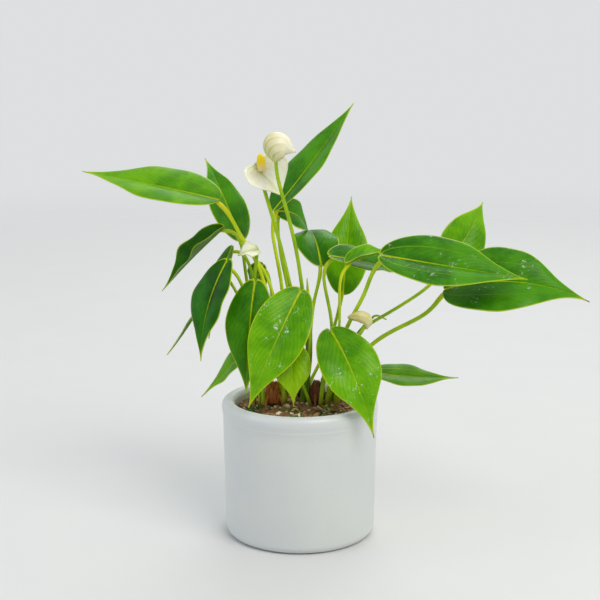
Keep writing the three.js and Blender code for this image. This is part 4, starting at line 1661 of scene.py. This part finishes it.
@dataclass
class YoungLeaves:
    """Leaves that are still rolled up: each a tapered roll whose free edge shows as a seam."""

    seam_step: float = 0.22  # how far the outer edge stands over the inner, of the radius
    sides: int = 26
    pitch: float = 1.0  # between one ring and the next

    def roll(self, name: str, twist: float, first: float) -> bpy.types.Object:
        """Makes one rolled leaf along its frame node.

        Args:
            name: Its name in the frame.
            twist: How far the seam winds round it, in radians.
            first: Where the seam starts, in radians.

        Returns:
            The piece.
        """
        node = f"young_leaf_{name}"
        rings = stalk_rings(node)
        centres = rings.mean(1)
        radii = np.linalg.norm(rings - centres[:, None], axis=-1).mean(1)
        length = float(np.linalg.norm(np.diff(centres, axis=0), axis=1).sum()) / MM
        count = max(14, int(length / self.pitch))
        line = through(np.vstack([centres[0] - [0, 0, SUNK_FOOT * MM], centres]), count)
        share = np.linspace(0, 1, count)
        girth = np.interp(share, np.linspace(0, 1, len(radii)), radii)
        turns = circle(self.sides)
        seam = first + twist * share
        past = (turns[None] - seam[:, None]) % (2 * np.pi) / (2 * np.pi)
        radius = girth[:, None] * (1 - self.seam_step * past)
        spokes = fan(turns, *carried_frames(line))
        shape = Shape("stalk_place")
        near = np.exp(-((np.minimum(past, 1 - past) / 0.07) ** 2)) * ramp(share, 0.1, 0.4)[:, None]
        knee = np.clip(near + ramp(share, 0.78, 1.0)[:, None], 0, 1)
        ones = np.ones_like(past)
        run = share[:, None] * length * ones
        shape.loft(line[:, None] + radius[..., None] * spokes,
                   {"stalk_place": np.stack([run, knee, 0.3 * ones], -1)})
        skin = StalkSkin(f"rolled_leaf_{name}", "#3f7a10", "#79a81c", "#b4cc28", "#6f7a2a")
        return shape.piece(f"rolled_leaf_{name}", skin.material(), [node])

    def build(self) -> list[bpy.types.Object]:
        """Makes and dresses both rolled leaves."""
        return [self.roll("spear", 2.2, -2.4), self.roll("curled", 1.2, 0.6)]


# ---------------------------------------------------------------- flowers


@dataclass
class Blooms:
    """Two open cream spathes, one with its spadix, and two buds still wrapped in theirs."""

    rows: int = 36
    columns: int = 15  # across each half
    thickness: float = 0.5
    cup: float = 0.1  # how deep each half is hollowed, as a share of its width
    veins_each_side: float = 4.5
    florets_round: int = 13
    florets_along: int = 17
    floret_height: float = 0.16

    def spathe(self, name: str, wave: float, flush: float, skin: bpy.types.Material,
               seed: int) -> bpy.types.Object:
        """Makes one open spathe.

        Args:
            name: Its name in the frame.
            wave: How far its edge waves, in millimetres.
            flush: How green it is.
            skin: Its material.
            seed: The seed of its waves.

        Returns:
            The piece.
        """
        random = np.random.default_rng(seed)
        top = stalk_top(f"peduncle_{name}")
        form = BladeForm.read(f"spathe_{name}", top, spathe_outline)
        v = crowded(self.rows, 1.7)
        drawn = 0.92 - 0.35 * ramp(v, 0.45, 0.95)
        reach = np.maximum(form.half * spathe_outline(v) * drawn, 0.3 * MM)
        u, side, off = both_halves(self.columns, 1.2)
        out = reach[:, None] * off
        across, up = form.directions(v)
        heading = form.heading(v)
        phases = random.uniform(0, 6.28, 3)
        swing = np.sin(np.pi * v)[:, None] ** 0.5
        ripple = np.sin(2 * np.pi * 1.6 * v[:, None] + phases[0] + side) \
            + 0.5 * np.sin(2 * np.pi * 3.3 * v[:, None] + phases[1] - side)
        rise = (math.sin(form.fold) * (np.sqrt(out**2 + (0.8 * MM) ** 2) - 0.8 * MM)
                + self.cup * reach[:, None] * (off**2 - np.sin(np.pi * off))
                + wave * MM * ripple * off**2 * swing)
        lobe = 0.42 * form.half * off**1.6 * np.exp(-((v / 0.45) ** 2))[:, None]
        middle = (form.rib(v)[:, None]
                  + across[:, None] * (side * out * math.cos(form.fold))[..., None]
                  + up[:, None] * rise[..., None] - heading[:, None] * lobe[..., None])
        skin_half = self.thickness / 2 * MM * (1 - 0.6 * off**8) * np.ones_like(out)
        skin_half = np.minimum(skin_half, reach[:, None] * 0.7)
        keel = 0.35 * MM * np.exp(-((out / (0.5 * MM)) ** 2)) * (1 - v)[:, None]
        rings = sheet_rings(middle, across, up, skin_half, skin_half + keel)
        ones = np.ones_like(out)
        to_margin = (reach[:, None] - out) / MM
        green = flush * (0.75 * np.exp(-out / (0.9 * MM)) + 0.55 * np.exp(-to_margin / 0.5)
                         + 0.45 * np.exp(-v / 0.15)[:, None]) * ones
        vein = (u * self.veins_each_side + 0.6 * v[:, None]) * ones
        paint = np.stack([np.clip(green, 0, 1), vein, 0.6 * ramp(v, 0.95, 1.0)[:, None] * ones], -1)
        back = paint + np.array([0.12, 0, 0])
        shape = Shape("bract_paint")
        shape.loft(rings, {"bract_paint": round_sheet(paint, paint[:, [0, -1]], back)})
        return shape.piece(f"open_spathe_{name}", skin, [f"spathe_{name}"])

    def spadix(self) -> bpy.types.Object:
        """Makes the spadix, studded with florets in a spiral.

        Returns:
            The piece.
        """
        low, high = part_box("spadix")
        foot = np.array([(low.x + high.x) / 2, (low.y + high.y) / 2, low.z])
        centres = read_rings("spadix", STALK_CORNERS, foot).mean(1)
        girth = min(high.x - low.x, high.y - low.y) / 2
        rows, around = 90, 78
        share = np.linspace(0, 1, rows)
        start, end = centres[0] - [0, 0, 0.9 * MM], centres[-1]
        line = start + share[:, None] * (end - start)
        turns = circle(around)
        profile = girth * np.sqrt(np.clip(1 - np.clip((share - 0.2) / 0.8, 0, 1) ** 3, 0.004, 1)) \
            * (0.86 + 0.14 * ramp(share, 0, 0.3)) * 1.08
        spiral = turns[None] * self.florets_round / 2
        climb = np.pi * self.florets_along * share[:, None]
        floret = np.abs(np.cos(spiral + climb) * np.cos(spiral - climb)) ** 0.6
        radius = profile[:, None] + self.floret_height * MM * (floret - 0.4) * \
            np.minimum(1, profile[:, None] / girth * 1.4)
        spokes = fan(turns, *carried_frames(line))
        ones = np.ones_like(radius)
        shape = Shape("floret_paint")
        shape.loft(line[:, None] + radius[..., None] * spokes,
                   {"floret_paint": np.stack([share[:, None] * ones, floret, 0 * ones], -1)})
        return shape.piece("floret_spadix", PollenGrain().material(), ["spadix"])

    def bud(self, name: str, green: float, blush: float, ribs: int,
            skin: bpy.types.Material, ball: float = 0.0) -> bpy.types.Object:
        """Makes one wrapped bud: a round hood whose veins run from its stalk over to its beak.

        Args:
            name: Its name in the frame.
            green: How green its stalk side is, and how green its left side is painted as shade.
            blush: How brown its beak is.
            ribs: How many veins run round it.
            skin: Its material.
            ball: How much of its length is a ball before the beak, or 0 to keep the frame's form.

        Returns:
            The piece.
        """
        top = stalk_top(f"peduncle_{name}")
        node = f"bud_{name}"
        points, triangles = welded(node)
        ends = [points[list(e)].mean(0) for e in end_faces(points, triangles, STALK_CORNERS)]
        stub = min(ends, key=lambda e: np.linalg.norm(e - top))
        rings = read_rings(node, STALK_CORNERS, stub)
        centres = rings.mean(1)
        radii = np.linalg.norm(rings - centres[:, None], axis=-1).mean(1)
        swell = radii.max()
        rows, around = 56, 64
        share = np.linspace(0, 1, rows)
        eased = share - 0.11 * np.sin(2 * np.pi * share)  # closer together at both ends
        along = np.linspace(0, 1, 200)
        fine = through(centres, len(along))
        line = np.column_stack([np.interp(eased, along, fine[:, k]) for k in range(3)])
        if ball:
            # A ball with a short beak, where the bract's two edges meet.
            across_ball = np.clip(1 - ((eased - ball / 2) / (ball / 2)) ** 2, 0, 1)
            beak_girth = 0.62 * np.clip((1 - eased) / 0.3, 0, 1) ** 1.1 * ramp(eased, 0.4, 0.6)
            girth = 0.96 * swell * np.maximum(np.sqrt(across_ball), beak_girth)
        else:
            # A smooth curve through the frame's radii, drawn over three times the widest of them.
            drawn_over = 3 * swell
            stations = np.linspace(0, drawn_over, len(radii))
            curve = through(np.column_stack([radii, stations, 0 * radii]), len(along))
            girth = np.interp(eased, np.clip(curve[:, 1] / drawn_over, 0, 1), curve[:, 0])
        girth = np.maximum(girth, 0.05 * MM)
        spokes = fan(circle(around), *carried_frames(line))
        skin_points = line[:, None] + girth[:, None, None] * spokes
        # Veins are meridians from the stalk to the beak, so each point's turn about that line.
        beak = centres[-1]
        axis = unit(beak - top)
        front = unit(np.array([0, -1.0, 0]) - (np.array([0, -1.0, 0]) @ axis) * axis)
        beside = np.cross(axis, front)
        offset = skin_points - top
        turn = np.arctan2(offset @ beside, offset @ front)
        lapped = (turn + 0.55) % (2 * np.pi) / (2 * np.pi)
        fade = np.sin(np.pi * np.clip(share, 0.02, 0.98))[:, None] ** 0.5
        relief = (0.018 * swell * np.cos(turn * ribs) * fade
                  + 0.09 * swell * (np.exp(-lapped * 3.2) - 0.35) * fade)
        skin_points = skin_points + relief[..., None] * spokes
        # The foot of the bract runs down onto its stalk.
        drawn_down = np.exp(-((np.linalg.norm(offset, axis=-1) / (2.4 * MM)) ** 2))
        skin_points = skin_points - drawn_down[..., None] * np.array([0, 0, 1.5 * MM])
        reach = float(np.linalg.norm(beak - top))
        near_stalk = np.exp(-np.linalg.norm(offset, axis=-1) / (reach * 0.5))
        # Painted shade: the side on the left, away from the key lamp, is mixed towards green.
        left = np.clip(0.5 - 0.9 * (skin_points[..., 0] - line[:, 0].mean()) / (2 * swell), 0, 1)
        low = (line[:, None, 2] - skin_points[..., 2]) / girth[:, None]
        seam = 0.55 * ramp(share, 0.4, 0.75)[:, None] * ramp(low, 0.55, 1.0)
        paint = np.stack([np.clip(green * (0.8 * near_stalk + 0.75 * left**1.5), 0, 1),
                          turn * ribs / (2 * np.pi),
                          blush * np.maximum(ramp(share, 0.86, 1.0)[:, None], seam)], -1)
        shape = Shape("bract_paint")
        shape.loft(skin_points, {"bract_paint": paint})
        return shape.piece(f"wrapped_bud_{name}", skin, [node])

    def build(self) -> list[bpy.types.Object]:
        """Makes and dresses every flower.

        Returns:
            The pieces.
        """
        skin = SpatheSkin().material()
        cream = SpatheSkin("ivory_bract", "#fdf8e6", "#f6eed0", "#b8b82c").material()
        yellowed = SpatheSkin("yellowed_bract", "#f6eeb4", "#eadc90", "#a49c30").material()
        return [self.spathe("tall", 0.5, 0.8, skin, 5), self.spathe("small", 1.1, 1.3, skin, 8),
                self.spadix(), self.bud("round", 1.0, 1.1, 22, cream, 0.8),
                self.bud("hooded", 1.0, 0.8, 12, yellowed)]


# ---------------------------------------------------------------- studio


@dataclass(frozen=True)
class Softbox:
    """One square soft lamp that faces the plant. Its sizes are in metres."""

    name: str
    place: tuple[float, float, float]
    power: float  # in watts
    tint: str
    side: float = 0.8

    def hang(self, aim: float) -> None:
        """Hangs the lamp and turns it to a height above the middle of the floor.

        Args:
            aim: The height, in metres.
        """
        data = bpy.data.lights.new(self.name, "AREA")
        data.shape, data.size, data.energy = "SQUARE", self.side, self.power
        data.color = srgb(self.tint)[:3]
        made = bpy.data.objects.new(self.name, data)
        spot = np.array(self.place, float)
        way = unit(np.array([0, 0, aim]) - spot)
        made.location = spot
        made.rotation_euler = (math.acos(-way[2]), 0, math.atan2(way[0], -way[1]) + math.pi)
        bpy.context.scene.collection.objects.link(made)


@dataclass
class Studio:
    """A pale seamless sweep, soft lamps and the camera. Its sizes are in metres."""

    fade_from: float = 0.4  # where the floor starts to melt into the daylight
    floor_radius: float = 1.9
    under_foot: float = 0.00002  # how far the floor lies under the pot, so that they don't flicker
    daylight: float = 0.82  # strength of the bright wall behind the plant
    room: float = 0.6  # how bright the room before it is, as a share of that
    lens: float = 76.2  # millimetres, as the sensor's width is
    sensor: float = 36.0
    distance: float = 0.6  # from the camera to what it looks at
    pitch: float = 11.0  # degrees down
    aim: float = 0.1135  # height that the camera looks at
    lamps: tuple[Softbox, ...] = (
        Softbox("key_softbox", (0.55, -0.75, 1.15), 10.3, "#fffbf4"),
        Softbox("left_softbox", (-1.1, -0.35, 0.8), 2.2, "#e0ebff"),
        Softbox("back_softbox", (0.2, 1.0, 1.0), 4.5, "#ffffff"),
    )

    def sweep(self) -> bpy.types.Object:
        """Makes the floor, which melts into the daylight far from the plant.

        Returns:
            The floor.
        """
        around = 96
        radii = (0.0005, 0.2, self.fade_from, 1.0, self.floor_radius)
        points = [(r * math.cos(t), r * math.sin(t), -self.under_foot)
                  for r in radii for t in circle(around)]
        faces = [(i * around + j, (i + 1) * around + j, (i + 1) * around + (j + 1) % around,
                  i * around + (j + 1) % around)
                 for i in range(len(radii) - 1) for j in range(around)]
        faces.append(tuple(range(around)))
        mesh = bpy.data.meshes.new("studio_sweep")
        mesh.from_pydata(points, [], faces)
        board = PaintedBoard(self.fade_from, 0.9 * self.floor_radius)
        mesh.materials.append(board.material())
        made = bpy.data.objects.new("studio_sweep", mesh)
        bpy.context.scene.collection.objects.link(made)
        return made

    def build(self) -> list[bpy.types.Object]:
        """Sets the sweep, the lamps, the daylight and the camera.

        Returns:
            The pieces.
        """
        world = bpy.data.worlds.new("studio_daylight")
        world.use_nodes = True
        background = world.node_tree.nodes["Background"]
        background.inputs[0].default_value = srgb("#f2f4f5")
        # A bright wall behind the plant and a dimmer room before it.
        way = put(world.node_tree, "SeparateXYZ", None,
                  {0: (put(world.node_tree, "TexCoord"), "Generated")})
        light = put(world.node_tree, "MapRange", SMOOTH,
                    {0: (way, 1), 1: -0.7, 2: 0.35, 3: self.room * self.daylight, 4: self.daylight})
        feed(world.node_tree, background, {1: light})
        scene = bpy.context.scene
        scene.world = world
        scene.view_settings.view_transform = "Standard"
        for lamp in self.lamps:
            lamp.hang(self.aim)
        camera = bpy.data.cameras.new("camera")
        camera.lens, camera.sensor_width = self.lens, self.sensor
        made = bpy.data.objects.new("camera", camera)
        tilt = math.radians(self.pitch)
        made.location = (0, -self.distance * math.cos(tilt),
                         self.aim + self.distance * math.sin(tilt))
        made.rotation_euler = (math.radians(90) - tilt, 0, 0)
        scene.collection.objects.link(made)
        scene.camera = made
        return [self.sweep()]


# ---------------------------------------------------------------- all together


def main() -> None:
    """Builds the studio and every sub-assembly, and reports each piece."""
    logging.basicConfig(level=logging.INFO, format="%(name)s: %(message)s")
    foliage = Foliage()
    builders = [Studio(), GlazedPot(), CompostBed(), ShootBases(), foliage,
                Stalks(leaves=tuple(foliage.habits)), YoungLeaves(), Blooms()]
    for builder in builders:
        for made in builder.build():
            log.info("%s: %s with %d points", type(builder).__name__, made.name,
                     len(made.data.vertices))
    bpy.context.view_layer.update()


if __name__ == "__main__":
    main()
